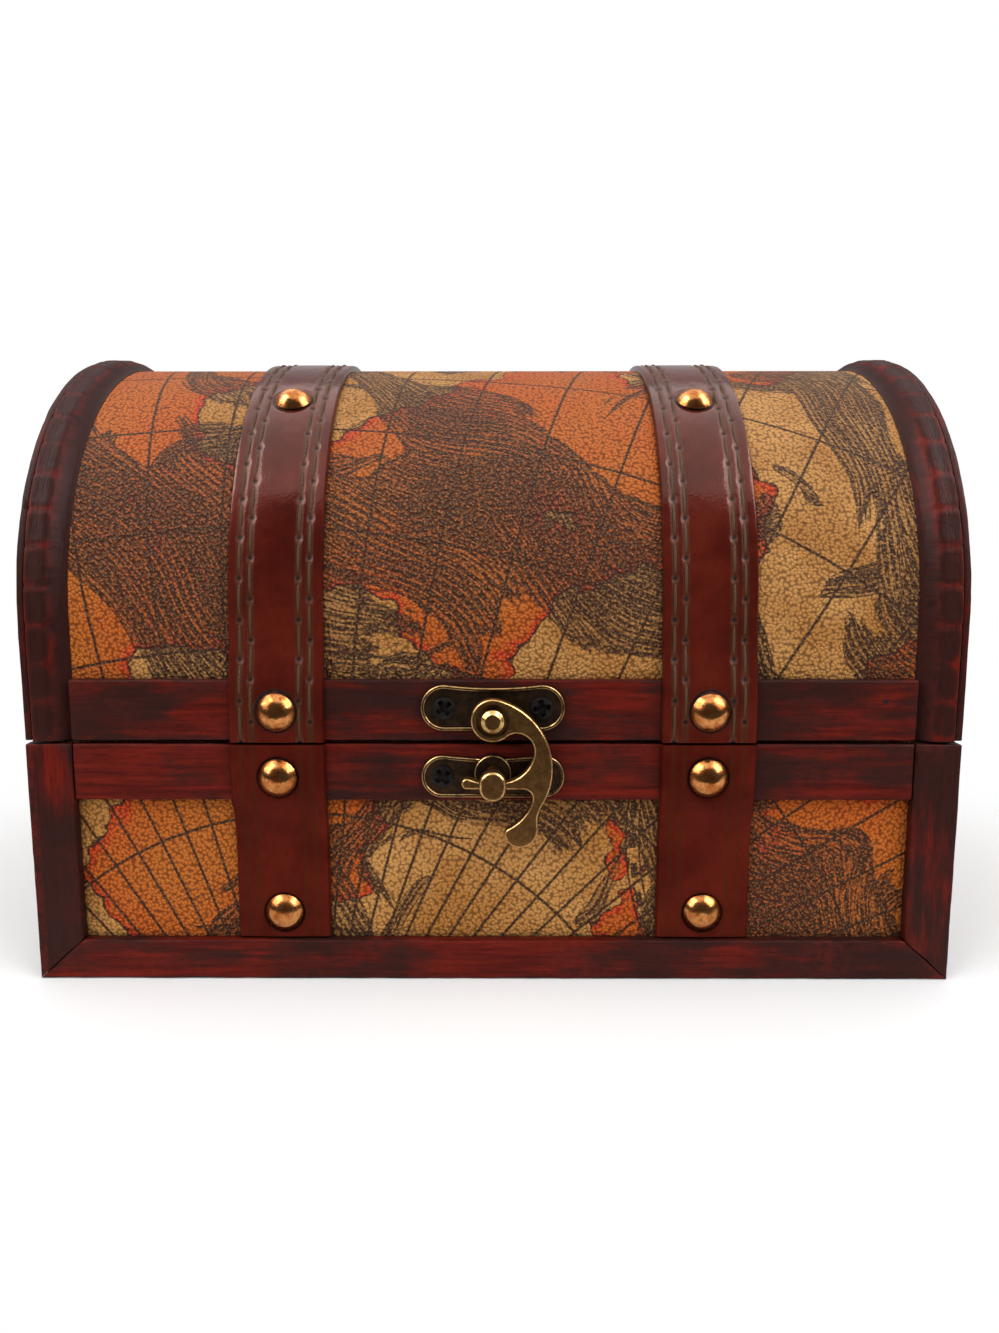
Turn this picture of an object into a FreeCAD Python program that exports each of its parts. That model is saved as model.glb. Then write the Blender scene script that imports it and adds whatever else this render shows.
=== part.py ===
import FreeCAD, Part
import os
import re
from math import atan2, cos, hypot, pi, radians, sin, tan

import Sketcher
from FreeCAD import Placement, Rotation, Vector

# A small dome-topped treasure chest. A wooden carcass is wrapped in printed leatherette, edged with wooden
# trim, bound with leather straps and nails, hung on two stop hinges and shut by a swing latch.
# Millimetres. +Z is up, the front faces -Y and the origin is the centre of the underside.

# Driving dimensions: each is one cell of the sheet, under its own name
SIZES = {
    # The box over its trim
    "box_width": 184,
    "box_depth": 118,
    "base_height": 48.75,
    "parting_gap": 0.5,
    "lid_straight": 22.75,
    # Carcass boards and the leatherette glued to them
    "wall_thick": 5,
    "bottom_thick": 3,
    "shell_thick": 3,
    "end_board_thick": 5,
    "cover_thick": 0.6,
    # Wooden trim: stiles upright, rails across
    "front_trim": 2.6,
    "side_trim": 1.6,
    "rail_setback": 0.4,
    "stile_width": 9.2,
    "side_stile_width": 7,
    "bottom_rail_width": 8.3,
    "top_rail_width": 11.5,
    "lid_rail_width": 12.2,
    "trim_round": 0.6,
    "side_trim_round": 0.5,
    # Strips bent over the lid's arched edges, and the flat rings on its ends
    "arch_round": 2.4,
    "kerf_depth": 0.45,
    "kerf_half_width": 0.3,
    "kerf_count": 25,
    "ring_inset": 0.5,
    "ring_width": 9,
    # Leather straps
    "strap_width": 18.5,
    "strap_thick": 1.4,
    "strap_inset": 31.35,
    "strap_ramp": 4,
    "strap_end_gap": 0.3,
    # Dome nails
    "nail_head_radius": 3.75,
    "nail_head_height": 2.1,
    "nail_shank_radius": 0.7,
    "nail_length": 4.6,
    "lid_nail_rise": 5.9,
    "base_nail_drop": 6.6,
    "low_nail_height": 13.75,
    "crown_nail_angle": 38,
    # Screws of the latch and the hinges
    "screw_head_radius": 2.2,
    "screw_head_height": 0.8,
    "screw_shank_radius": 0.9,
    "screw_length": 5.5,
    # Swing latch
    "latch_plate_thick": 1.2,
    "latch_half_length": 14,
    "latch_lobe_radius": 4.5,
    "latch_waist": 0.6,
    "latch_rim": 0.7,
    "latch_rim_depth": 0.35,
    "latch_plate_rise": 6.8,
    "catch_lobe_radius": 4.2,
    "catch_plate_drop": 0.85,
    "pivot_rise": 4.9,
    "pivot_boss_radius": 3.2,
    "hook_length": 25,
    "hook_thick": 2.2,
    "hook_round": 0.5,
    "eye_recess_radius": 3.2,
    "eye_recess_depth": 0.7,
    "hook_gap": 0.3,
    "rivet_radius": 1.2,
    "rivet_head_radius": 2.2,
    "rivet_head_height": 1,
    "rivet_edge": 0.35,
    "rivet_flat_radius": 1.45,
    "stud_neck_radius": 1,
    "stud_head_radius": 2.6,
    "stud_head_stretch": 0.7,
    "stud_head_drop": 1.4,
    "stud_head_round": 0.8,
    "stud_head_length": 2.4,
    "stud_collar_radius": 3.6,
    "running_clearance": 0.05,
    # Stop hinges
    "hinge_inset": 5.8,
    "hinge_width": 20,
    "hinge_leaf_height": 8.6,
    "leaf_thick": 0.8,
    "knuckle_radius": 1.5,
    "knuckle_width": 8,
    "knuckle_gap": 0.3,
    "hinge_pin_radius": 0.6,
    "hinge_screw_edge": 4,
    "tongue_length": 5,
    "tongue_width": 7,
    "stop_angle": 105,
    # How far a cut runs past what it cuts
    "overrun": 1,
}

# Places worked out from the driving dimensions
DERIVED = {
    "half_width": "box_width / 2",
    "half_depth": "box_depth / 2",
    "lid_bottom": "base_height + parting_gap",
    "spring_height": "lid_bottom + lid_straight",
    "cover_out": "half_depth - front_trim",
    "carcass_out": "cover_out - cover_thick",
    "rail_proud": "front_trim - rail_setback",
    "rail_out": "cover_out + rail_proud",
    "side_cover_out": "half_width - side_trim",
    "side_carcass_out": "side_cover_out - cover_thick",
    "rail_half": "half_width - stile_width",
    "strap_centre": "rail_half - strap_inset - strap_width / 2",
    "hinge_centre": "rail_half - hinge_inset - hinge_width / 2",
    "ring_out": "half_depth - ring_inset",
    "ring_in": "ring_out - ring_width",
    "shell_in": "carcass_out - shell_thick",
    "top_rail_low": "base_height - top_rail_width",
    "strap_shift": "strap_thick * tan(atan(rail_proud / strap_ramp) / 2)",
    "strap_left": "0 - strap_width / 2",
    "nail_rail_out": "rail_out + strap_thick",
    "nail_cover_out": "cover_out + strap_thick",
    "plate_out": "rail_out + latch_plate_thick",
    "hook_back": "plate_out + screw_head_height + hook_gap",
    "hook_front": "hook_back + hook_thick",
    "pivot_height": "lid_bottom + pivot_rise",
    "latch_height": "lid_bottom + latch_plate_rise",
    "seat_drop": "hook_length * beak_seat_share",
    "catch_height": "pivot_height - seat_drop + hook_gap + stud_neck_radius",
    "catch_plate_height": "catch_height - catch_plate_drop",
    "hinge_screw_spread": "(hinge_width / 2 - hinge_screw_edge)",
    "hinge_out": "rail_out + knuckle_gap + knuckle_radius",
    "hinge_height": "base_height + parting_gap / 2",
    "knuckle_reach": "knuckle_radius + knuckle_gap",
}

# The hook's outline, as shares of its length from the pivot's centre: the ends of arcs that run on smoothly
# from the shoulder of the eye, down the spine, round the tail, out along the beak and back through the throat
EYE_SHARE = 0.168
EYE_SHOULDER = radians(15)
BEAK_SEAT_SHARE = 0.488
HOOK_SHARES = [(0.464, -0.364), (0.384, -0.668), (0.35, -0.836), (0.212, -1.004), (0.092, -0.908),
               (0.12, -0.852), (0.304, -0.636), (0.2329, -0.5396), (-0.2, -0.538), (-0.184, -0.4556),
               (0.108, -0.48), (0.316, -0.274), (0.212, -0.104)]
SHARES = {"beak_seat_share": BEAK_SEAT_SHARE}

doc = FreeCAD.newDocument("treasure_chest")
sheet = doc.addObject("Spreadsheet::Sheet", "dims")
for row, (alias, size) in enumerate(SIZES.items(), start=1):
    sheet.set(f"A{row}", alias)
    sheet.set(f"B{row}", str(size))
    sheet.setAlias(f"B{row}", alias)
doc.recompute()

PARTS = []
FRONT = Rotation(Vector(0, 0, 1), Vector(0, -1, 0))
FACES = ("front", "right", "back", "left")
UPRIGHT = Rotation(Vector(1, 0, 0), Vector(0, 1, 0))
ALONG_X = Rotation(Vector(0, 0, 1), Vector(1, 0, 0))


def expand(text):
    """Write an expression of the sheet's cells for a formula in plain names."""
    def swap(match):
        word = match.group(0)
        if word in DERIVED:
            return f"({expand(DERIVED[word])})"
        if word in SIZES:
            return f"dims.{word}"
        return str(SHARES.get(word, word))
    return re.sub(r"[a-z_]+", swap, str(text))


def value(text):
    """Work out a formula's number now."""
    return float(sheet.evalExpression(expand(text)))


def bind(thing, name, text):
    """Tie a property to the sheet."""
    thing.setExpression(name, expand(text))


def place(thing, x, y, z, turn=Rotation()):
    """Stand a piece at a place given by three formulas."""
    thing.Placement = Placement(Vector(value(x), value(y), value(z)), turn)
    for axis, text in zip("xyz", (x, y, z)):
        bind(thing, f"Placement.Base.{axis}", text)


def face_turn(face):
    """Turn that puts local X to the right, Y up and Z outward on a face seen from outside."""
    turn = FRONT
    for _ in range(FACES.index(face)):
        turn = UPRIGHT * turn
    return turn


def face_ends(face):
    """The faces that a face meets at its left and right ends, seen from outside."""
    number = FACES.index(face)
    return FACES[number - 1], FACES[(number + 1) % len(FACES)]


def place_on_face(thing, face, right, up, out, turn=Rotation()):
    """Stand a piece on a face of the box: so far right, up and outward from the box's centre line."""
    spots = {
        "front": (right, f"-({out})"),
        "right": (out, right),
        "back": (f"-({right})", out),
        "left": (f"-({out})", f"-({right})"),
    }
    x, y = spots[face]
    place(thing, x, y, up, face_turn(face) * turn)


def keep(piece, label):
    """Give a finished piece its name."""
    piece.Label = label
    PARTS.append(piece)
    return piece


def new_body(label):
    """Start a sub-part."""
    return keep(doc.addObject("PartDesign::Body", label), label)


def datum(body, role):
    """A plane or axis of the body's own origin."""
    return next(item for item in body.Origin.OriginFeatures if item.Role == role)


def new_sketch(body, plane):
    """Start a sketch on one of the body's origin planes."""
    sketch = body.newObject("Sketcher::SketchObject", "outline")
    sketch.AttachmentSupport = [(datum(body, plane), "")]
    sketch.MapMode = "FlatFace"
    return sketch


def hold(sketch, kind, geometry, point, text):
    """Hold a sketch point at a distance from the origin, tied to the sheet."""
    index = sketch.addConstraint(Sketcher.Constraint(kind, -1, 1, geometry, point, value(text)))
    bind(sketch, f"Constraints[{index}]", text)


def arc_centre(start, end, axis, level):
    """Centre at a known level on one axis, as far from the start as from the end."""
    middle = [(a + b) / 2 for a, b in zip(start, end)]
    run = [b - a for a, b in zip(start, end)]
    other = 1 - axis
    centre = [0, 0]
    centre[axis] = level
    centre[other] = middle[other] - run[axis] * (level - middle[axis]) / run[other]
    return centre


def outline(body, plane, points, arcs=None):
    """Closed outline through points given as pairs of formulas.

    arcs maps a stretch, by the number of its first point, to (axis, formula, turn): the arc's centre lies at
    that level on that axis, and it turns anticlockwise (1) or clockwise (-1).
    """
    sketch = new_sketch(body, plane)
    arcs = arcs or {}
    spots = [(value(x), value(y)) for x, y in points]
    ends = []
    for number, start in enumerate(spots):
        end = spots[(number + 1) % len(spots)]
        if number in arcs:
            axis, level, turn = arcs[number]
            centre = arc_centre(start, end, "xy".index(axis), value(level))
            first, last = (start, end) if turn > 0 else (end, start)
            angles = [atan2(spot[1] - centre[1], spot[0] - centre[0]) for spot in (first, last)]
            if angles[1] <= angles[0]:
                angles[1] += 2 * pi
            radius = hypot(start[0] - centre[0], start[1] - centre[1])
            circle = Part.Circle(Vector(*centre, 0), Vector(0, 0, 1), radius)
            sketch.addGeometry(Part.ArcOfCircle(circle, *angles))
            ends.append((1, 2) if turn > 0 else (2, 1))
        else:
            sketch.addGeometry(Part.LineSegment(Vector(*start, 0), Vector(*end, 0)))
            ends.append((1, 2))
    for number, (first, last) in enumerate(ends):
        following = (number + 1) % len(ends)
        sketch.addConstraint(Sketcher.Constraint("Coincident", number, last, following, ends[following][0]))
    for number, (x, y) in enumerate(points):
        hold(sketch, "DistanceX", number, ends[number][0], x)
        hold(sketch, "DistanceY", number, ends[number][0], y)
    for number, (axis, level, turn) in arcs.items():
        hold(sketch, f"Distance{axis.upper()}", number, 3, level)
    return sketch


def circles(body, plane, spots, radius):
    """Round outlines of one radius at places given as pairs of formulas."""
    sketch = new_sketch(body, plane)
    for number, (x, y) in enumerate(spots):
        middle = Vector(value(x), value(y), 0)
        sketch.addGeometry(Part.Circle(middle, Vector(0, 0, 1), value(radius)))
        hold(sketch, "DistanceX", number, 3, x)
        hold(sketch, "DistanceY", number, 3, y)
        index = sketch.addConstraint(Sketcher.Constraint("Radius", number, value(radius)))
        bind(sketch, f"Constraints[{index}]", radius)
    return sketch


def pad(body, sketch, length, reverse=False):
    """Extrude a sketch, along its normal unless reversed."""
    feature = body.newObject("PartDesign::Pad", "pad")
    feature.Profile = sketch
    feature.Reversed = reverse
    bind(feature, "Length", length)
    return feature


def pocket_through(body, sketch):
    """Cut a sketch through the whole body, both ways."""
    feature = body.newObject("PartDesign::Pocket", "cut")
    feature.Profile = sketch
    feature.SideType = "Symmetric"
    feature.Type = "ThroughAll"
    return feature


def turned(label, points, arcs=None):
    """Revolve an outline of (radius, height) points about the local Z axis."""
    body = new_body(label)
    feature = body.newObject("PartDesign::Revolution", "turn")
    feature.Profile = outline(body, "XZ_Plane", points, arcs)
    feature.ReferenceAxis = (datum(body, "Z_Axis"), [""])
    feature.Angle = 360
    return body


def board(label, size, corner):
    """A plain rectangular board from its sizes and its lowest corner."""
    piece = keep(doc.addObject("Part::Box", label), label)
    for side, text in zip(("Length", "Width", "Height"), size):
        bind(piece, side, text)
    place(piece, *corner)
    return piece


def rounded_section(width, thick, radius):
    """Section of a strip with its two outer edges rounded, across the width and outward."""
    points = [("0", "0"), (width, "0"), (width, f"{thick} - {radius}"), (f"{width} - {radius}", thick),
              (radius, thick), ("0", f"{thick} - {radius}")]
    arcs = {2: ("x", f"{width} - {radius}", 1), 4: ("x", radius, 1)}
    return points, arcs


def trim(label, face, right, up, out, length, width, thick, radius, upright=False, cuts=()):
    """A wooden strip on a face: across it from its left end, or upright from its right foot.

    Each cut is a triangle of (along, across) points that a mitre takes off.
    """
    body = new_body(label)
    pad(body, outline(body, "YZ_Plane", *rounded_section(width, thick, radius)), length)
    for points in cuts:
        pocket_through(body, outline(body, "XY_Plane", points))
    place_on_face(body, face, right, up, out, UPRIGHT if upright else Rotation())
    return body


def arched(outer, inner, low):
    """Outline of an arched band over the lid's spring line, with straight legs down to a level."""
    points = [(f"-({outer})", low), (f"-({outer})", "0"), (outer, "0"), (outer, low),
              (inner, low), (inner, "0"), (f"-({inner})", "0"), (f"-({inner})", low)]
    return points, {1: ("y", "0", -1), 5: ("y", "0", 1)}


def arched_plate(label, outer, thick, x):
    """A flat plate with a half-round top, standing across the lid."""
    body = new_body(label)
    points = [(f"-({outer})", "-lid_straight"), (f"-({outer})", "0"), (outer, "0"), (outer, "-lid_straight")]
    pad(body, outline(body, "YZ_Plane", points, {1: ("y", "0", -1)}), thick)
    place(body, x, "0", "spring_height")
    return body


def arched_band(label, outer, inner, thick, x):
    """A band bent over the lid."""
    body = new_body(label)
    pad(body, outline(body, "YZ_Plane", *arched(outer, inner, "-lid_straight")), thick)
    place(body, x, "0", "spring_height")
    return body


def group(label, master, spots):
    """Copies of one fastener as a single node: each spot is (x, y, z, turn)."""
    PARTS.remove(master)
    links = []
    for x, y, z, turn in spots:
        link = doc.addObject("App::Link", f"{label}_copy")
        link.LinkedObject = master
        place(link, x, y, z, turn)
        links.append(link)
    piece = keep(doc.addObject("Part::Compound", label), label)
    piece.Links = links
    return piece


def face_spot(face, right, up, out):
    """A fastener's place on a face, for a group."""
    sign = "-" if face == "front" else ""
    return (right, f"{sign}({out})", up, face_turn(face))


# Carcass of the base: the bottom is glued under four butted walls
board("base_bottom_panel", ("2 * (side_carcass_out)", "2 * (carcass_out)", "bottom_thick"),
      ("-side_carcass_out", "-carcass_out", "0"))
WALL_HEIGHT = "base_height - bottom_thick"
for face, y in (("front", "-carcass_out"), ("back", "carcass_out - wall_thick")):
    board(f"base_{face}_panel", ("2 * side_carcass_out", "wall_thick", WALL_HEIGHT),
          ("-side_carcass_out", y, "bottom_thick"))
for face, x in (("left", "-side_carcass_out"), ("right", "side_carcass_out - wall_thick")):
    board(f"base_{face}_panel", ("wall_thick", "2 * (carcass_out - wall_thick)", WALL_HEIGHT),
          (x, "wall_thick - carcass_out", "bottom_thick"))

# Leatherette glued to the base: the end covers lap the edges of the front and back ones
for face, y in (("front", "-cover_out"), ("back", "carcass_out")):
    board(f"base_{face}_cover", ("2 * side_carcass_out", "cover_thick", "base_height"),
          ("-side_carcass_out", y, "0"))
for face, x in (("left", "-side_cover_out"), ("right", "side_carcass_out")):
    board(f"base_{face}_cover", ("cover_thick", "2 * cover_out", "base_height"), (x, "-cover_out", "0"))

# Trim of the base: mitred at the bottom corners, with the top rails butted between the stiles
for face in FACES:
    broad = face in ("front", "back")
    half = "half_width" if broad else "cover_out"
    stile = "stile_width" if broad else "side_stile_width"
    thick = "front_trim" if broad else "side_trim"
    radius = "trim_round" if broad else "side_trim_round"
    out = "cover_out" if broad else "side_cover_out"
    rail_thick = "rail_proud" if broad else "side_trim"
    span = f"2 * ({half})"
    first_end, last_end = face_ends(face)
    left_foot = [("0", "0"), ("bottom_rail_width", "0"), ("0", stile)]
    right_foot = [("0", "0"), ("bottom_rail_width", stile), ("0", stile)]
    trim(f"base_{face}_stile_{first_end}", face, f"{stile} - {half}", "0", out, "base_height", stile, thick,
         radius, True, [left_foot])
    trim(f"base_{face}_stile_{last_end}", face, half, "0", out, "base_height", stile, thick, radius,
         True, [right_foot])
    rail_ends = [[("0", "0"), (stile, "bottom_rail_width"), ("0", "bottom_rail_width")],
                 [(span, "0"), (span, "bottom_rail_width"), (f"{span} - {stile}", "bottom_rail_width")]]
    trim(f"base_{face}_bottom_rail", face, f"-({half})", "0", out, span, "bottom_rail_width", thick, radius,
         False, rail_ends)
    trim(f"base_{face}_top_rail", face, f"{stile} - {half}", "top_rail_low", out, f"{span} - 2 * {stile}",
         "top_rail_width", rail_thick, radius)

# Straps of the base: over the top rail, down a short ramp and along the cover to the bottom rail
STRAP_LOW = "bottom_rail_width + strap_end_gap"
RAMP_FOOT = "top_rail_low - strap_ramp"
BASE_STRAP = [(STRAP_LOW, "0"), (STRAP_LOW, "strap_thick"), (f"{RAMP_FOOT} - strap_shift", "strap_thick"),
              ("top_rail_low - strap_shift", "rail_proud + strap_thick"),
              ("base_height", "rail_proud + strap_thick"), ("base_height", "rail_proud"),
              ("top_rail_low", "rail_proud"), (RAMP_FOOT, "0")]
for face in ("front", "back"):
    for side, middle in zip(face_ends(face), ("-strap_centre", "strap_centre")):
        strap = new_body(f"base_{face}_strap_{side}")
        pad(strap, outline(strap, "YZ_Plane", BASE_STRAP), "strap_width")
        place_on_face(strap, face, f"{middle} + strap_left", "0", "cover_out")

# Carcass and leatherette of the lid: a bent shell over two arched end boards
arched_band("lid_shell", "carcass_out", "shell_in", "2 * side_carcass_out", "-side_carcass_out")
arched_band("lid_top_cover", "cover_out", "carcass_out", "2 * side_carcass_out", "-side_carcass_out")
for side, board_x, cover_x in (("left", "-side_carcass_out", "-side_cover_out"),
                               ("right", "side_carcass_out - end_board_thick", "side_carcass_out")):
    arched_plate(f"lid_end_board_{side}", "shell_in", "end_board_thick", board_x)
    arched_plate(f"lid_end_cover_{side}", "cover_out", "cover_thick", cover_x)

# Trim of the lid's ends: a flat ring on each end face, with a rail between its legs
for side, x in (("left", "-half_width"), ("right", "side_cover_out")):
    arched_band(f"lid_end_ring_{side}", "ring_out", "ring_in", "side_trim", x)
    trim(f"lid_side_rail_{side}", side, "-ring_in", "lid_bottom", "side_cover_out", "2 * (ring_in)",
         "lid_rail_width", "side_trim", "side_trim_round")

# Strips bent over the lid's edges, with shallow kerfs across them where they bend
STRIP_WIDTH = "stile_width - side_trim"
for side, x, inner_edge in (("left", "-side_cover_out", True), ("right", "rail_half", False)):
    strip = new_body(f"lid_arch_strip_{side}")
    for sign, sweep in (("-", True), ("", False)):
        flat, crest = f"{sign}cover_out", f"{sign}half_depth"
        shoulder = f"{sign}(half_depth - arch_round)"
        turn = 1 if (sign == "-") == inner_edge else -1
        if inner_edge:
            points = [("0", flat), ("0", crest), (f"{STRIP_WIDTH} - arch_round", crest),
                      (STRIP_WIDTH, shoulder), (STRIP_WIDTH, flat)]
            arcs = {2: ("x", f"{STRIP_WIDTH} - arch_round", turn)}
        else:
            points = [(STRIP_WIDTH, flat), (STRIP_WIDTH, crest), ("arch_round", crest), ("0", shoulder),
                      ("0", flat)]
            arcs = {2: ("x", "arch_round", turn)}
        section = outline(strip, "XY_Plane", points, arcs)
        pad(strip, section, "lid_straight", True)
        if sweep:
            bend = strip.newObject("PartDesign::Revolution", "bend")
            bend.Profile = section
            bend.ReferenceAxis = (datum(strip, "X_Axis"), [""])
            bend.Angle = 180
            bend.Reversed = True
    notch = [("-(half_depth + overrun)", "-kerf_half_width * (kerf_depth + overrun) / kerf_depth"),
             ("-(half_depth + overrun)", "kerf_half_width * (kerf_depth + overrun) / kerf_depth"),
             ("kerf_depth - half_depth", "0")]
    kerf = pocket_through(strip, outline(strip, "YZ_Plane", notch))
    kerfs = strip.newObject("PartDesign::PolarPattern", "kerfs")
    kerfs.Originals = [kerf]
    kerfs.Axis = (datum(strip, "X_Axis"), [""])
    kerfs.Angle = 180
    kerfs.Reversed = True
    bind(kerfs, "Occurrences", "kerf_count")
    strip.Tip = kerfs
    place(strip, x, "0", "spring_height")

# Rails of the lid, butted between the bent strips
for face in ("front", "back"):
    trim(f"lid_{face}_rail", face, "-rail_half", "lid_bottom", "cover_out", "2 * (rail_half)",
         "lid_rail_width", "rail_proud", "trim_round")

# Straps of the lid: over the front rail, up a ramp, round the dome and down the back the same way
RAIL_TOP = "lid_rail_width - lid_straight"
STRAP_STEPS = [("rail_out", "-lid_straight"), ("rail_out", RAIL_TOP),
               ("cover_out", f"{RAIL_TOP} + strap_ramp"), ("cover_out", "0")]
OUTER_STEPS = [("nail_rail_out", "-lid_straight"), ("nail_rail_out", f"{RAIL_TOP} + strap_shift"),
               ("nail_cover_out", f"{RAIL_TOP} + strap_ramp + strap_shift"), ("nail_cover_out", "0")]
LID_STRAP = [(f"-({y})", z) for y, z in OUTER_STEPS] + OUTER_STEPS[::-1]
LID_STRAP += STRAP_STEPS + [(f"-({y})", z) for y, z in STRAP_STEPS[::-1]]
for side, middle in (("left", "-strap_centre"), ("right", "strap_centre")):
    strap = new_body(f"lid_strap_{side}")
    pad(strap, outline(strap, "YZ_Plane", LID_STRAP, {3: ("y", "0", -1), 11: ("y", "0", 1)}), "strap_width")
    place(strap, f"{middle} + strap_left", "0", "spring_height")

# Dome nails through the straps
NAIL_SECTION = [("0", "-nail_length"), ("nail_shank_radius", "-nail_length"), ("nail_shank_radius", "0"),
                ("nail_head_radius", "0"), ("0", "nail_head_height")]
base_spots = []
lid_spots = []
for middle in ("-strap_centre", "strap_centre"):
    for face in ("front", "back"):
        base_spots.append(face_spot(face, middle, "base_height - base_nail_drop", "nail_rail_out"))
        base_spots.append(face_spot(face, middle, "low_nail_height", "nail_cover_out"))
        lid_spots.append(face_spot(face, middle, "lid_bottom + lid_nail_rise", "nail_rail_out"))
        lean = value("crown_nail_angle")
        sign = "-" if face == "front" else ""
        lid_spots.append((middle, f"{sign}(nail_cover_out) * sin(crown_nail_angle)",
                          "spring_height + nail_cover_out * cos(crown_nail_angle)",
                          Rotation(Vector(1, 0, 0), lean if face == "front" else -lean)))
for label, spots in (("base_nails", base_spots), ("lid_nails", lid_spots)):
    group(label, turned(f"{label}_master", NAIL_SECTION, {3: ("x", "0", 1)}), spots)

# Screws of the latch and the hinges
SCREW_SECTION = [("0", "-screw_length"), ("screw_shank_radius", "-screw_length"), ("screw_shank_radius", "0"),
                 ("screw_head_radius", "0"), ("0", "screw_head_height")]
HINGE_SCREW_DROP = "hinge_leaf_height / 2 + knuckle_reach"
for label, sign, latch_up, lobe in (("base_screws", "-", "catch_plate_height", "catch_lobe_radius"),
                                    ("lid_screws", "+", "latch_height", "latch_lobe_radius")):
    spots = []
    for end in ("-", ""):
        spots.append(face_spot("front", f"{end}(latch_half_length - {lobe})", latch_up,
                               "plate_out - latch_rim_depth"))
        for reach in ("-", "+"):
            spots.append(face_spot("back", f"{end}hinge_centre {reach} hinge_screw_spread",
                                   f"hinge_height {sign} ({HINGE_SCREW_DROP})", "rail_out + leaf_thick"))
    group(label, turned(f"{label}_master", SCREW_SECTION, {3: ("x", "0", 1)}), spots)


def latch_plate(label, lobe, waist, up, pins, boss_radius, boss_height):
    """A cast plate with two screw lobes, a raised rim, a boss and a hole through it for a pin."""
    body = new_body(label)
    for rim, start, drop in (("0", None, None), ("latch_rim", "latch_plate_thick", "latch_rim_depth")):
        reach = f"(latch_half_length - {lobe})"
        top = f"({lobe} - {rim})"
        sag = f"({waist})"
        high = f"{top} - {sag} + ({reach} * {reach} + {sag} * {sag}) / (2 * {sag})"
        points = [(f"-{reach}", f"-{top}"), (reach, f"-{top}"), (reach, top), (f"-{reach}", top)]
        arcs = {1: ("x", reach, 1), 2: ("y", high, -1), 3: ("x", f"-{reach}", 1)}
        sketch = outline(body, "XY_Plane", points, arcs)
        if start is None:
            pad(body, sketch, "latch_plate_thick")
        else:
            bind(sketch, "AttachmentOffset.Base.z", start)
            recess = body.newObject("PartDesign::Pocket", "recess")
            recess.Profile = sketch
            bind(recess, "Length", drop)
    pad(body, circles(body, "XY_Plane", [("0", pins)], boss_radius), boss_height)
    pocket_through(body, circles(body, "XY_Plane", [("0", pins)], "rivet_radius + running_clearance"))
    holes = [(f"-(latch_half_length - {lobe})", "0"), (f"latch_half_length - {lobe}", "0")]
    pocket_through(body, circles(body, "XY_Plane", holes, "screw_shank_radius + running_clearance"))
    place_on_face(body, "front", "0", up, "rail_out")
    return body


# Swing latch: plates, the rivet that the hook turns on, and the stud that its beak hooks under
BOSS_HEIGHT = "hook_back - hook_gap - rail_out"
latch_plate("latch_plate", "latch_lobe_radius", "latch_waist", "latch_height", "pivot_height - latch_height",
            "pivot_boss_radius", BOSS_HEIGHT)
latch_plate("latch_catch_plate", "catch_lobe_radius", "latch_waist", "catch_plate_height", "catch_plate_drop",
            "stud_collar_radius", BOSS_HEIGHT)
HEAD_SEAT = "hook_front + hook_gap - rail_out"
RIVET_EDGE, RIVET_TOP = f"{HEAD_SEAT} + rivet_edge", f"{HEAD_SEAT} + rivet_head_height"
rivet = turned("latch_rivet", [("0", "0"), ("rivet_radius", "0"), ("rivet_radius", HEAD_SEAT),
                               ("rivet_head_radius", HEAD_SEAT), ("rivet_head_radius", RIVET_EDGE),
                               ("rivet_flat_radius", RIVET_TOP), ("0", RIVET_TOP)])
place_on_face(rivet, "front", "0", "pivot_height", "rail_out")


def stud_shape():
    """The catch stud: a turned neck in its collar and an oblong head, hung low, with an eased rim."""
    radius, half = value("stud_head_radius"), value("stud_head_stretch / 2")
    right, left = Vector(radius, half, 0), Vector(-radius, half, 0)
    top, bottom = Vector(0, half + radius, 0), Vector(0, -half - radius, 0)
    low_right, low_left = Vector(radius, -half, 0), Vector(-radius, -half, 0)
    edges = [Part.LineSegment(low_right, right).toShape(), Part.Arc(right, top, left).toShape(),
             Part.LineSegment(left, low_left).toShape(), Part.Arc(low_left, bottom, low_right).toShape()]
    length = value("stud_head_length")
    head = Part.Face(Part.Wire(edges)).extrude(Vector(0, 0, length))
    rim = [edge for edge in head.Edges if edge.BoundBox.ZMin > length / 2]
    head = head.makeFillet(value("stud_head_round"), rim)
    head.translate(Vector(0, -value("stud_head_drop"), value(HEAD_SEAT)))
    foot = Part.makeCylinder(value("rivet_radius"), value(BOSS_HEIGHT))
    neck = Part.makeCylinder(value("stud_neck_radius"), value(HEAD_SEAT))
    return foot.fuse([neck, head]).removeSplitter()


stud = keep(doc.addObject("Part::Feature", "latch_catch_stud"), "latch_catch_stud")
stud.Shape = stud_shape()
stud.Placement = Placement(Vector(0, -value("rail_out"), value("catch_height")), FRONT)


def smooth_arc(start, heading, end):
    """Arc that leaves a point along a heading and ends at another point, with its heading there."""
    run = end - start
    along = atan2(run.y, run.x)
    turn = (along - heading + pi) % (2 * pi) - pi
    middle = (start + end) / 2 + Vector(run.y, -run.x, 0) * (tan(turn / 2) / 2)
    return Part.Arc(start, middle, end).toShape(), along + turn


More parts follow.
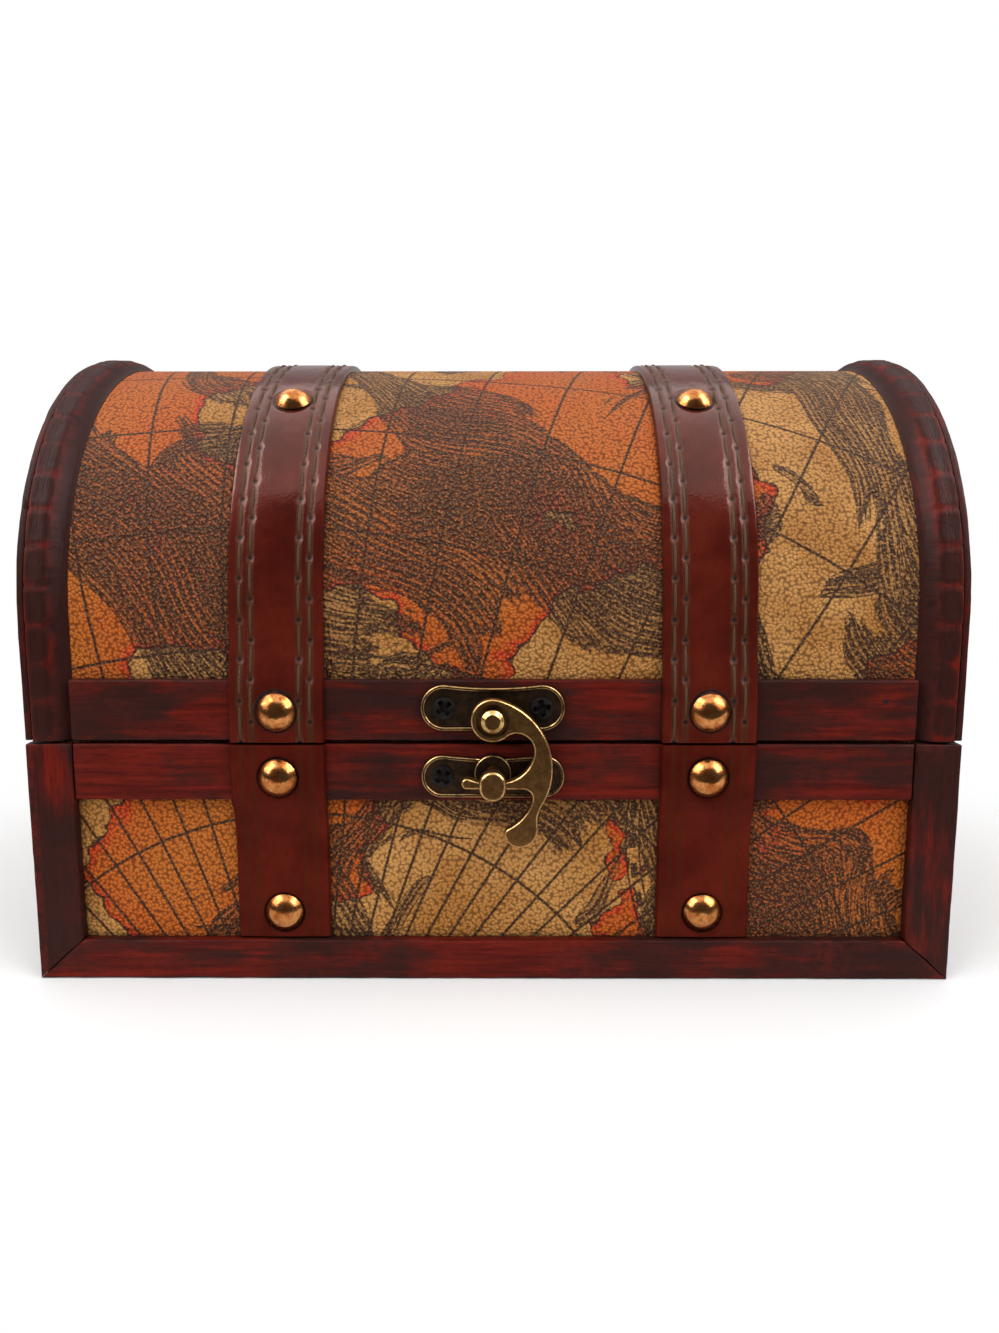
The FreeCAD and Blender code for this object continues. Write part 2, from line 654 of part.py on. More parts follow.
def hook_shape():
    """The swing hook: smooth arcs from a dished eye round tail, beak and throat, with eased edges."""
    length = value("hook_length")
    eye = EYE_SHARE * length
    shoulder = Vector(eye * sin(EYE_SHOULDER), eye * cos(EYE_SHOULDER), 0)
    spot, heading = shoulder, -EYE_SHOULDER
    edges = []
    for across, up in HOOK_SHARES:
        end = Vector(across * length, up * length, 0)
        edge, heading = smooth_arc(spot, heading, end)
        edges.append(edge)
        spot = end
    inward = Vector(-sin(heading), cos(heading), 0)
    fillet = (spot.dot(spot) - eye ** 2) / (2 * (eye - spot.dot(inward)))
    join = (spot + inward * fillet) * (eye / (fillet + eye))
    edge, heading = smooth_arc(spot, heading, join)
    edges.append(edge)
    edges.append(Part.Arc(join, Vector(-eye, 0, 0), shoulder).toShape())
    solid = Part.Face(Part.Wire(edges)).extrude(Vector(0, 0, value("hook_thick")))
    front = [edge for edge in solid.Edges if edge.BoundBox.ZMin > value("hook_thick") / 2]
    solid = solid.makeFillet(value("hook_round"), front)
    bore = Part.makeCylinder(value("rivet_radius + running_clearance"), value("hook_thick + 2 * overrun"),
                             Vector(0, 0, -value("overrun")))
    recess = Part.makeCylinder(value("eye_recess_radius"), value("eye_recess_depth + overrun"),
                               Vector(0, 0, value("hook_thick - eye_recess_depth")))
    return solid.cut(bore).cut(recess)


hook = keep(doc.addObject("Part::Feature", "latch_hook"), "latch_hook")
hook.Shape = hook_shape()
hook.Placement = Placement(Vector(0, -value("hook_back"), value("pivot_height")), FRONT)


def box_piece(name, size, corner):
    """A box for joining into a larger piece."""
    piece = board(name, size, corner)
    PARTS.remove(piece)
    return piece


def rod(name, radius, x, length):
    """A round bar on the hinge line, for joining or cutting."""
    piece = doc.addObject("Part::Cylinder", name)
    bind(piece, "Radius", radius)
    bind(piece, "Height", length)
    place(piece, x, "hinge_out", "hinge_height", ALONG_X)
    return piece


def screw_hole(name, x, z):
    """A hole through a hinge leaf."""
    piece = doc.addObject("Part::Cylinder", name)
    bind(piece, "Radius", "screw_shank_radius + running_clearance")
    bind(piece, "Height", "leaf_thick + 2 * overrun")
    place(piece, x, "rail_out + leaf_thick + overrun", z, FRONT)
    return piece


def leaf(label, middle, up):
    """A hinge leaf: a plate with one middle knuckle (lid) or two outer ones (base), bored for the pin."""
    side_width = "(hinge_width - knuckle_width) / 2"
    first = f"{middle} - hinge_width / 2"
    inner = f"{middle} - knuckle_width / 2"
    last = f"{middle} + knuckle_width / 2"
    reach = "(knuckle_reach)"
    if up:
        plate_low = f"hinge_height + {reach}"
        tab_low = "hinge_height + knuckle_gap"
        spans = [(f"{inner} + knuckle_gap", "knuckle_width - 2 * knuckle_gap")]
        screw_up = f"hinge_height + {HINGE_SCREW_DROP}"
    else:
        plate_low = f"hinge_height - {reach} - hinge_leaf_height"
        tab_low = f"hinge_height - {reach}"
        spans = [(first, side_width), (last, side_width)]
        screw_up = f"hinge_height - ({HINGE_SCREW_DROP})"
    pieces = [box_piece(f"{label}_plate", ("hinge_width", "leaf_thick", "hinge_leaf_height"),
                        (first, "rail_out", plate_low))]
    for number, (start, width) in enumerate(spans):
        pieces.append(box_piece(f"{label}_tab_{number}", (width, "leaf_thick", f"{reach} - knuckle_gap"),
                                (start, "rail_out", tab_low)))
        pieces.append(rod(f"{label}_knuckle_{number}", "knuckle_radius", start, width))
    if up:
        pieces.append(stop_tongue(f"{label}_tongue", middle))
    joined = doc.addObject("Part::MultiFuse", f"{label}_joined")
    joined.Shapes = pieces
    cutters = [rod(f"{label}_bore", "hinge_pin_radius + running_clearance", f"{first} - overrun",
                   "hinge_width + 2 * overrun")]
    for number, spread in enumerate(("-", "+")):
        cutters.append(screw_hole(f"{label}_hole_{number}", f"{middle} {spread} hinge_screw_spread", screw_up))
    tools = doc.addObject("Part::MultiFuse", f"{label}_tools")
    tools.Shapes = cutters
    piece = keep(doc.addObject("Part::Cut", label), label)
    piece.Base = joined
    piece.Tool = tools
    return piece


def stop_tongue(name, middle):
    """Tail of the lid's leaf: it stands out behind, and lies on the other leaf when fully open."""
    piece = doc.addObject("Part::Box", name)
    bind(piece, "Length", "tongue_width")
    bind(piece, "Width", "leaf_thick")
    bind(piece, "Height", "tongue_length")
    corner = Vector(value(f"{middle} - tongue_width / 2"),
                    value("rail_out + leaf_thick + knuckle_gap"),
                    value("hinge_height - tongue_length"))
    axis = Vector(0, value("hinge_out"), value("hinge_height"))
    swing = Placement(Vector(), Rotation(Vector(1, 0, 0), value("stop_angle")), axis)
    piece.Placement = swing * Placement(corner, Rotation())
    return piece


# Stop hinges on the back rails
for side, middle in (("left", "-hinge_centre"), ("right", "hinge_centre")):
    leaf(f"hinge_lower_leaf_{side}", middle, False)
    leaf(f"hinge_upper_leaf_{side}", middle, True)
pin = keep(doc.addObject("Part::Cylinder", "hinge_pin_master"), "hinge_pin_master")
bind(pin, "Radius", "hinge_pin_radius")
bind(pin, "Height", "hinge_width")
group("hinge_pins", pin, [(f"{middle} - hinge_width / 2", "hinge_out", "hinge_height", ALONG_X)
                          for middle in ("-hinge_centre", "hinge_centre")])

doc.recompute()
for thing in doc.Objects:
    if {"Invalid", "Error"} & set(thing.State):
        raise RuntimeError(f"{thing.Label} failed: {thing.State}")
for piece in PARTS:
    if piece.Shape.isNull() or not piece.Shape.isValid():
        raise RuntimeError(f"{piece.Label} has no valid shape")

os.makedirs("parts", exist_ok=True)
for piece in PARTS:
    piece.Shape.exportStep(f"parts/{piece.Label}.step")
    box = piece.Shape.BoundBox
    print(f"{piece.Label}: {len(piece.Shape.Solids)} solid, {piece.Shape.Volume:.1f} mm3, "
          f"x {box.XMin:.2f} {box.XMax:.2f}, y {box.YMin:.2f} {box.YMax:.2f}, z {box.ZMin:.2f} {box.ZMax:.2f}")
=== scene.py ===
# %% [markdown]
# # A small treasure chest
# A dome-topped keepsake chest: a wooden carcass wrapped in printed leatherette, edged with distressed
# mahogany, bound with stitched leather straps and dome nails, and shut by a swing latch.
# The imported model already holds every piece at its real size. This lesson dresses it: each step says what a
# piece or a finish is on the real chest, and why it is made the way it is. Lengths are in metres.

# %% Load the frame and keep its box
from math import atan2, ceil, cos, exp, hypot, pi, radians, sin, sqrt

import bmesh
import bpy
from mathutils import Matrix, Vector, noise


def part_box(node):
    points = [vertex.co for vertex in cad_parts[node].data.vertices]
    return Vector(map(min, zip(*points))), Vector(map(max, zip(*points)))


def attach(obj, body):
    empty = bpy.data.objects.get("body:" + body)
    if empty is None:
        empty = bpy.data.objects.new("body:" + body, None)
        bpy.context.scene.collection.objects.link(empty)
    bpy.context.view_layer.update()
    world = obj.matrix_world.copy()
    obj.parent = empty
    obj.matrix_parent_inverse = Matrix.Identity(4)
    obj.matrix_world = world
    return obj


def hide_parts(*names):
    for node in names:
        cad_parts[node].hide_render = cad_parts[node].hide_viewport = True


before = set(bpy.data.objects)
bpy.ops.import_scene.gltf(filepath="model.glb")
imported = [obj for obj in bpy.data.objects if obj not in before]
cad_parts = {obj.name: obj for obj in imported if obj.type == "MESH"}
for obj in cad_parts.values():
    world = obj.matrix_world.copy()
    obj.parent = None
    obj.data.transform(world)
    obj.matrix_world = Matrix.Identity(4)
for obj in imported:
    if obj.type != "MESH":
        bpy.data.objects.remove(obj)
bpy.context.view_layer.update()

MM = 0.001
scene = bpy.context.scene

# %% [markdown]
# Nothing is measured twice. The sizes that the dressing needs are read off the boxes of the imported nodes, so
# the straps, covers and nails follow the chest if it is ever packed at another size. A point on the lid's
# arch is known by its run, the way round from the front's lower edge, and by how far out it lies.

# %% Read the main sizes off the frame
lid_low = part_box("lid_front_rail")[0].z
lid_rail_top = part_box("lid_front_rail")[1].z
base_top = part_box("base_front_top_rail")[1].z
base_rail_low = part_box("base_front_top_rail")[0].z
cover_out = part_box("lid_top_cover")[1].y
rail_out = -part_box("lid_front_rail")[0].y
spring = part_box("lid_top_cover")[1].z - cover_out
lid_leg = spring - lid_low
arch_total = 2 * lid_leg + pi * cover_out
strap_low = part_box("base_front_strap_left")[0].z
strap_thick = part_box("lid_strap_left")[1].y - rail_out
print("spring line", round(spring / MM, 2), "cover radius", round(cover_out / MM, 2), "mm")


def arch_run(y, z):
    """The run of a point and how far out it lies."""
    if z < spring:
        front = z - lid_low
        return (front, -y) if y < 0 else (arch_total - front, y)
    return lid_leg + cover_out * atan2(z - spring, -y), hypot(y, z - spring)


def arch_place(run, out):
    """The other way: y and z of a point, from its run and how far out it lies."""
    turn = min(max((run - lid_leg) / cover_out, 0), pi)
    drop = min(run, arch_total - run, lid_leg) - lid_leg
    return -cos(turn) * out, spring + sin(turn) * out + drop


# %% [markdown]
# Materials are node graphs. A tiny helper keeps them readable: every method adds a node or two and returns
# the socket that the next one reads. Patterns are measured in millimetres, on maps that the meshes carry, so
# grain and print keep their real scale on every piece and turn with the grain of each strip.

# %% Colours
def paint(red, green, blue):
    """A colour as a painter would note it, from 0 to 255, in the linear light that shaders use."""
    def linear(level):
        share = level / 255
        return share / 12.92 if share <= 0.04045 else ((share + 0.055) / 1.055) ** 2.4
    return (linear(red), linear(green), linear(blue), 1)


print("mid grey in linear light", round(paint(128, 128, 128)[0], 3))


# %% A helper for node graphs
class Graph:
    """A node graph under construction."""

    def __init__(self, tree):
        self.tree = tree

    def feed(self, socket, value):
        if isinstance(value, bpy.types.NodeSocket):
            self.tree.links.new(value, socket)
        elif value is not None:
            socket.default_value = value

    def add(self, kind, *values, **settings):
        made = self.tree.nodes.new("ShaderNode" + kind)
        for setting, value in settings.items():
            setattr(made, setting, value)
        for socket, value in zip(made.inputs, values):
            self.feed(socket, value)
        return made

    def math(self, operation, *values):
        return self.add("Math", *values, operation=operation).outputs[0]

    def times(self, first, second):
        return self.math("MULTIPLY", first, second)

    def apart(self, first, second):
        return self.math("ABSOLUTE", self.math("SUBTRACT", first, second))

    def vector(self, operation, *values):
        return self.add("VectorMath", *values, operation=operation).outputs[0]

    def length(self, place):
        return self.add("VectorMath", place, operation="LENGTH").outputs["Value"]

    def ease(self, value, start, end):
        """A smooth step from 0 at start to 1 at end."""
        return self.add("MapRange", value, start, end, 0, 1, interpolation_type="SMOOTHSTEP").outputs[0]

    def span(self, value, low, high, first, last):
        """A value's range carried over to another range."""
        return self.add("MapRange", value, low, high, first, last).outputs[0]

    def blend(self, share, first, second):
        made = self.add("Mix", data_type="RGBA")
        for socket, value in zip((made.inputs[0], made.inputs[6], made.inputs[7]), (share, first, second)):
            self.feed(socket, value)
        return made.outputs[2]

    def tint(self, colour, mark, share, rgb):
        """A painter's colour laid over another one where a mark lies, as thick as the share says."""
        return self.blend(self.times(mark, share), colour, paint(*rgb))

    def noise(self, place, size, detail, rough, output=0):
        made = self.add("TexNoise", noise_dimensions="3D")
        self.feed(made.inputs["Vector"], place)
        made.inputs["Scale"].default_value = 1 / size
        made.inputs["Detail"].default_value = detail
        made.inputs["Roughness"].default_value = rough
        return made.outputs[output]

    def sway(self, place, size, detail, rough, reach):
        """A place pushed aside by a noise."""
        push = self.vector("SUBTRACT", self.noise(place, size, detail, rough, 1), (0.5, 0.5, 0.5))
        return self.vector("ADD", place, self.vector("MULTIPLY", push, (reach, reach, 0)))

    def cells(self, place, size):
        """How far the middle of the nearest cell lies, in cells."""
        made = self.add("TexVoronoi", voronoi_dimensions="2D", feature="F1")
        self.feed(made.inputs["Vector"], place)
        made.inputs["Scale"].default_value = 1 / size
        return made.outputs["Distance"]

    def stretch(self, place, x, y):
        return self.vector("MULTIPLY", place, (x, y, 1))

    def map(self, name):
        return self.add("UVMap", uv_map=name).outputs[0]

    def attribute(self, name):
        return self.add("Attribute", attribute_name=name).outputs["Fac"]

    def place(self):
        return self.add("TexCoord").outputs["Object"]

    def surface(self, colour, rough, height, depth, strength):
        """Hand the shader its colour, its roughness and a bump from a height."""
        bump = self.add("Bump")
        bump.inputs["Strength"].default_value = strength
        bump.inputs["Distance"].default_value = depth
        self.feed(bump.inputs["Height"], height)
        self.feed(self.shader["Base Color"], colour)
        self.feed(self.shader["Roughness"], rough)
        self.feed(self.shader["Normal"], bump.outputs[0])


# %% A new finish
def new_finish(name, **sockets):
    """A material with the shader's own sockets set, and its graph."""
    material = bpy.data.materials.new(name)
    material.use_nodes = True
    graph = Graph(material.node_tree)
    graph.shader = material.node_tree.nodes["Principled BSDF"].inputs
    for socket, value in sockets.items():
        graph.feed(graph.shader[socket.replace("_", " ")], value)
    return material, graph


# %% [markdown]
# The trim is softwood stained like mahogany and then distressed: dark stain sits along the pores, and rubbing
# has brought a redder colour back on the edges. Hollows and joints are darkened as painted shade with some
# grime. The rubbed places come from the mesh, as an attribute called wear, because only the mesh knows where
# an edge is. Another one called stain says how dark a strip was left. The grain map runs along each strip.
# The rails' brads show as dark plugs, painted shade for their pits.

# %% Distressed mahogany
def crevice_shade_and_grime(g, colour, reach, rgb):
    """Painted shade, with some grime, where a surface runs into its neighbours: ambient occlusion darkens the
    colour.
    """
    hollow = g.add("AmbientOcclusion", samples=6)
    hollow.inputs["Distance"].default_value = reach
    return g.tint(colour, g.ease(hollow.outputs["AO"], 0.75, 0.25), 0.85, rgb)


def mahogany():
    material, g = new_finish("distressed_mahogany", Specular_IOR_Level=0.07)
    grain = g.map("grain")
    streaks = g.noise(g.stretch(grain, 0.06, 1), 1.3, 5, 0.62)
    pores = g.noise(g.stretch(grain, 0.09, 1), 0.28, 2, 0.5)
    clouds = g.noise(g.stretch(grain, 0.3, 1), 6, 5, 0.65)
    blots = g.noise(grain, 2.4, 5, 0.72)
    colour = g.blend(g.ease(streaks, 0.28, 0.74), paint(64, 15, 10), paint(110, 28, 16))
    stained = g.math("ADD", g.math("MULTIPLY_ADD", clouds, 3.2, -1.6), g.attribute("stain"))
    colour = g.tint(colour, g.ease(stained, 0, 0.8), 0.88, (40, 23, 20))
    rubbed = g.times(g.attribute("wear"), g.ease(blots, 0.4, 0.62))
    colour = g.tint(colour, rubbed, 0.6, (126, 34, 23))
    colour = g.tint(colour, g.ease(blots, 0.58, 0.72), 0.6, (33, 20, 18))
    colour = g.tint(colour, g.ease(pores, 0.56, 0.7), 0.45, (30, 13, 11))
    # Painted shade, with some grime, in the trim's hollows and joints.
    colour = crevice_shade_and_grime(g, colour, 1.2 * MM, (17, 9, 8))
    relief = g.math("ADD", g.times(streaks, 0.6), g.times(pores, -0.5))
    relief = g.math("MULTIPLY_ADD", blots, 0.8, relief)
    g.surface(colour, g.span(clouds, 0.3, 0.7, 0.34, 0.52), relief, 0.28 * MM, 0.65)
    return material


def brad_pit_shade():
    """Near-black plugs that stand for the brads' pits: painted shade."""
    material, g = new_finish("brad_pit_shade", Specular_IOR_Level=0.2)
    crumbs = g.noise(g.place(), 0.3 * MM, 3, 0.6)
    colour = g.blend(crumbs, paint(14, 9, 8), paint(40, 22, 18))
    g.surface(colour, g.span(crumbs, 0.3, 0.7, 0.5, 0.8), crumbs, 0.1 * MM, 0.6)
    return material


mahogany_finish, pit_shade_finish = mahogany(), brad_pit_shade()
print("mahogany of", len(mahogany_finish.node_tree.nodes), "shader nodes")


# %% [markdown]
# The walls behind the covers are plain board, stained dark where the inside shows. Their grain is taken from
# the place itself, since these boards stay as they were packed.

# %% Stained board
FIBRES = (60, 900, 900)


def stained_board():
    material, g = new_finish("stained_board", Specular_IOR_Level=0.25)
    fibres = g.noise(g.vector("MULTIPLY", g.place(), FIBRES), 1, 4, 0.6)
    clouds = g.noise(g.place(), 18 * MM, 3, 0.5)
    colour = g.blend(g.ease(fibres, 0.3, 0.7), paint(74, 40, 26), paint(104, 62, 40))
    colour = g.tint(colour, g.ease(clouds, 0.5, 0.7), 0.5, (58, 31, 22))
    g.surface(colour, g.span(fibres, 0.2, 0.8, 0.6, 0.8), fibres, 0.2 * MM, 0.4)
    return material


board_finish = stained_board()
print("board of", len(board_finish.node_tree.nodes), "shader nodes")


# %% [markdown]
# The covers are leatherette printed like an old chart. The print here is made up: noise draws the land and
# its jagged coasts, a net of meridians and parallels crosses it, and plumes of engraved strokes flow over
# both. Every mark is worked out in millimetres on the print map. The walls have their own part of the chart,
# with a pole that is nearer than the lid's.

# %% Net and rings of the print
WALL_PRINT, PRINT_GAP = 300, 40
LID_POLE, WALL_POLE = (-46, -150), (-38, 262)
MERIDIANS, PARALLEL_STEP, NET_WIDTH = 84, 24, 0.55
SCALE_RINGS = (((-30, 44), 78), ((88, 330), 60))
RING_BARS, RING_WIDTH, RIM_WIDTH = 60, 1.3, 0.35


def thin_line(g, distance, width):
    """Ink where a distance is under half a line's width."""
    return g.math("SUBTRACT", 1, g.ease(distance, width * 0.3, width * 0.75))


def divisions(g, away, count):
    """How far round a centre a place lies, counted in divisions of the circle."""
    parts = g.add("SeparateXYZ", away).outputs
    return g.times(g.math("ARCTAN2", parts[1], parts[0]), count / (2 * pi))


def chart_net(g, flat):
    """Meridians that run out from a pole and parallels round it."""
    on_wall = g.math("GREATER_THAN", g.add("SeparateXYZ", flat).outputs[1], WALL_PRINT - PRINT_GAP)
    nearer = [wall - lid for wall, lid in zip(WALL_POLE, LID_POLE)]
    shift = g.add("VectorMath", (*nearer, 0), operation="SCALE")
    g.feed(shift.inputs["Scale"], on_wall)
    away = g.vector("SUBTRACT", g.vector("SUBTRACT", flat, (*LID_POLE, 0)), shift.outputs[0])
    far = g.length(away)
    off = g.apart(g.math("FRACT", divisions(g, away, MERIDIANS)), 0.5)
    gap = g.times(g.times(off, far), 2 * pi / MERIDIANS)
    rings = g.math("PINGPONG", far, PARALLEL_STEP / 2)
    return g.math("MAXIMUM", thin_line(g, gap, NET_WIDTH), thin_line(g, rings, NET_WIDTH))


def scale_ring(g, flat, centre, radius):
    """A ring divided into dark and light lengths, as on a chart's border."""
    away = g.vector("SUBTRACT", flat, (*centre, 0))
    inside = g.apart(g.length(away), radius)
    dark = g.math("LESS_THAN", g.math("FRACT", divisions(g, away, RING_BARS)), 0.5)
    bars = g.times(g.math("LESS_THAN", inside, RING_WIDTH / 2), dark)
    rims = thin_line(g, g.apart(inside, RING_WIDTH), RIM_WIDTH)
    return g.math("MAXIMUM", bars, rims)


print("meridians", MERIDIANS, "scale rings", len(SCALE_RINGS))


# %% [markdown]
# A noise by itself has no sizes: its steep places would get thin lines and its flat ones thick lines. Divided
# by its slope, it tells how far a place lies from a coast in millimetres. The plumes are stretched noise in a
# bent field, and the strokes inside run along with them. Where the field is pulled apart the strokes double,
# by the same slope, so that the hatching is as fine everywhere.

# %% Coasts of the print
LAND_SIZE, SLOPE_STEP, LEAST_SLOPE = 84, 1.5, 0.001


def slope(g, height):
    """How fast a height, given as a function of a step aside, changes in a millimetre."""
    here = height((0, 0, 0))
    east, north = (g.math("SUBTRACT", height(step), here)
                   for step in ((SLOPE_STEP, 0, 0), (0, SLOPE_STEP, 0)))
    rise = g.length(g.add("CombineXYZ", east, north, 0).outputs[0])
    return g.math("MAXIMUM", g.math("DIVIDE", rise, SLOPE_STEP), LEAST_SLOPE)


def coast(g, place):
    """How far inland a place lies, in millimetres, and how high."""
    def height(step):
        return g.noise(g.vector("ADD", place, step), LAND_SIZE, 5, 0.5)
    here = height((0, 0, 0))
    return g.math("DIVIDE", g.math("SUBTRACT", here, 0.5), slope(g, height)), here


print("land of", LAND_SIZE, "mm")


# %% Plumes of the print
STROKES, STROKE_SOFTNESS = 0.85, 0.1
LARGE_PLUMES = dict(turn=0.9, bend=105, bend_size=84, length=84, breadth=34, cover=0.55)
SMALL_PLUMES = dict(turn=-0.5, bend=60, bend_size=40, length=40, breadth=14, cover=0.62)


def plumes(g, flat, turn, bend, bend_size, length, breadth, cover):
    """Tongues of engraved strokes along a bent field: their ink and the ground that they cover."""
    def bent(step):
        turned = g.add("VectorRotate", g.vector("ADD", flat, step), (0, 0, 0), (0, 0, 1), turn,
                       rotation_type="AXIS_ANGLE").outputs[0]
        return g.sway(turned, bend_size, 1.5, 0.5, bend)

    def across(step):
        return g.add("SeparateXYZ", bent(step)).outputs[1]
    flow = bent((0, 0, 0))
    fray = g.noise(g.stretch(flow, 0.13, 1), 1.2, 3, 0.6)
    tongue = g.noise(g.stretch(flow, breadth / length, 1), breadth, 2, 0.5)
    tongue = g.math("MULTIPLY_ADD", fray, 0.07, tongue)
    ground = g.ease(tongue, cover, cover + 0.012)
    doublings = g.math("ROUND", g.math("LOGARITHM", slope(g, across), 0.5))
    strokes = g.math("MULTIPLY_ADD", fray, 1.9, g.times(across((0, 0, 0)), STROKES))
    strokes = g.times(strokes, g.math("POWER", 2, doublings))
    stroke = g.math("PINGPONG", g.math("ADD", strokes, 0.5), 0.5)
    shade = g.noise(g.stretch(flow, 0.3, 1), 5, 3, 0.6)
    deep = g.ease(g.math("MULTIPLY_ADD", shade, 0.2, tongue), cover + 0.06, cover + 0.24)
    thin = g.math("MULTIPLY_ADD", deep, -0.26, 0.24)
    ink = g.ease(stroke, thin, g.math("ADD", thin, STROKE_SOFTNESS))
    edge = thin_line(g, g.apart(tongue, cover + 0.006), 0.014)
    return g.math("MAXIMUM", g.times(ink, ground), edge), ground


print("strokes", STROKES, "to the mm")


# %% [markdown]
# The finish itself lays those marks over each other: sand for the sea, orange for the land with a redder rim
# along the coasts, a dusky ground under the plumes and last the ink, rubbed off in specks. A pebbled grain
# lies over it all, in the bump and in the colour: the pebbles' tops are lighter, a painted highlight, and
# their pits darker, painted shade with some dirt. Where the cover meets other parts it gets painted shade as
# well.

# %% Printed leatherette
CHART_SEAT = (-300, -145, 0)
SHAKE_SIZE, COAST_SHAKE, PEBBLE_SHAKE = 9, 6, 2
SHORE_WIDTH, PEBBLE_SIZE = 0.5, 0.7


def chart_ground(g, place):
    """The colour of sea and land, and how far inland a place lies."""
    inland, height = coast(g, g.vector("ADD", place, CHART_SEAT))
    shade = g.noise(place, 16, 4, 0.6)
    sea = g.blend(g.ease(shade, 0.3, 0.7), paint(164, 108, 47), paint(194, 141, 79))
    land = g.blend(g.ease(height, 0.5, 0.62), paint(180, 80, 16), paint(178, 94, 26))
    ashore = g.ease(inland, -0.1, 0.1)
    rim = g.times(ashore, g.ease(inland, 2.2, 0.4))
    return g.tint(g.blend(ashore, sea, land), rim, 0.85, (184, 42, 14)), inland


def chart_ink(g, flat, inland):
    """All the engraving, and the ground that its plumes cover."""
    drawn = g.vector("ADD", flat, CHART_SEAT)
    large, large_ground = plumes(g, drawn, **LARGE_PLUMES)
    small, small_ground = plumes(g, drawn, **SMALL_PLUMES)
    small = g.times(small, g.math("SUBTRACT", 1, large_ground))
    ink = g.times(g.math("MAXIMUM", large, small), g.ease(g.noise(flat, 0.8, 3, 0.7), 0.34, 0.5))
    lines = [thin_line(g, g.math("ABSOLUTE", inland), SHORE_WIDTH), chart_net(g, flat)]
    lines += [scale_ring(g, flat, centre, radius) for centre, radius in SCALE_RINGS]
    for line in lines:
        ink = g.math("MAXIMUM", ink, line)
    return ink, g.math("MAXIMUM", large_ground, small_ground)


def leatherette():
    material, g = new_finish("printed_leatherette", Specular_IOR_Level=0.08,
                             Sheen_Weight=0.05, Sheen_Roughness=0.5)
    flat = g.map("print")
    colour, inland = chart_ground(g, g.sway(flat, SHAKE_SIZE, 4, 0.6, COAST_SHAKE))
    ink, ground = chart_ink(g, flat, inland)
    colour = g.tint(colour, ground, 0.36, (84, 52, 36))
    colour = g.tint(colour, ink, 0.94, (31, 23, 21))
    pebbles = g.cells(g.sway(flat, SHAKE_SIZE, 4, 0.6, PEBBLE_SHAKE), PEBBLE_SIZE)
    wrinkles = g.noise(flat, 0.5, 3, 0.6)
    # Pebble tops painted lighter, a painted highlight; pits painted darker, painted shade with some dirt.
    colour = g.tint(colour, g.ease(pebbles, 0.4, 0.05), 0.16, (240, 176, 100))
    colour = g.tint(colour, g.ease(pebbles, 0.34, 0.7), 0.62, (70, 34, 14))
    # Painted shade, with some grime, where the cover meets other parts.
    colour = crevice_shade_and_grime(g, colour, 2 * MM, (30, 17, 11))
    relief = g.math("ADD", g.times(pebbles, -1), g.times(wrinkles, 0.9))
    g.surface(colour, g.span(wrinkles, 0.2, 0.8, 0.4, 0.58), relief, 0.42 * MM, 0.9)
    return material


print_finish = leatherette()
print("leatherette of", len(print_finish.node_tree.nodes), "shader nodes")


# %% [markdown]
# The straps are smooth oxblood leather. Those on the lid are polished and shine more than anything but the
# metal, so their roughness stays low, and the wax gives their reflections a warm tint. Those on the base are
# dull. The attribute channel marks the sewn channels, where dye and wax have gathered to a dull brown. The
# attribute hole marks the needle holes and the moats round the nails, painted near black as painted shade.
# Where a strap meets other parts it gets painted shade as well.

# %% Strap leather and thread
WAX_TINT = (1, 0.66, 0.56, 1)


def oxblood_leather(name, shine, gloss):
    material, g = new_finish(name, Specular_IOR_Level=shine, Specular_Tint=WAX_TINT)
    flat = g.map("grain")
    clouds = g.noise(flat, 14, 4, 0.6)
    creases = g.noise(g.stretch(flat, 0.9, 0.25), 0.8, 4, 0.6)
    channel, hole = g.attribute("channel"), g.attribute("hole")
    colour = g.blend(g.ease(clouds, 0.3, 0.7), paint(63, 15, 8), paint(86, 25, 14))
    colour = g.tint(colour, g.ease(channel, 0.1, 0.8), 0.6, (58, 32, 10))
    # Needle holes and the rings round the nails painted near black: painted shade.
    colour = g.blend(g.ease(hole, 0.3, 0.7), colour, paint(16, 8, 6))
    colour = g.tint(colour, g.ease(creases, 0.56, 0.72), 0.45, (48, 15, 10))
    # Painted shade, with some grime, where the strap meets other parts.
    colour = crevice_shade_and_grime(g, colour, 1 * MM, (18, 8, 6))
    polish = g.span(clouds, 0.3, 0.7, gloss, gloss + 0.08)
    rough = g.math("MULTIPLY_ADD", g.ease(channel, 0.05, 0.6), 0.2, polish)
    rough = g.math("MULTIPLY_ADD", hole, 0.5, rough)
    relief = g.math("ADD", g.times(creases, 0.5), g.times(g.cells(flat, 0.55), 0.3))
    g.surface(colour, rough, relief, 0.12 * MM, 0.4)
    return material


def waxed_thread():
    material, g = new_finish("waxed_thread", Specular_IOR_Level=0.2)
    wave = g.add("TexWave", g.map("grain"), wave_type="BANDS", bands_direction="DIAGONAL")
    wave.inputs["Scale"].default_value = 0.9
    twist = wave.outputs[1]
    colour = g.blend(twist, paint(54, 29, 14), paint(96, 60, 30))
    g.surface(colour, g.span(twist, 0, 1, 0.7, 0.5), twist, 0.1 * MM, 0.6)
    return material


lid_leather = oxblood_leather("polished_oxblood", 0.42, 0.1)
base_leather = oxblood_leather("dull_oxblood", 0.05, 0.4)
thread_finish = waxed_thread()
print("leathers", lid_leather.name, base_leather.name)


# %% [markdown]
# Three metals: the nails are polished, copper-toned brass with tarnish in blotches; the latch and hinges are
# brass darkened to bronze, brighter brass wherever they stand out, partly rubbed wear and partly a painted
# highlight; the screws are blackened. On the bronze, those bright places are found from the surface's own
# direction: a rounded edge no longer faces the front.

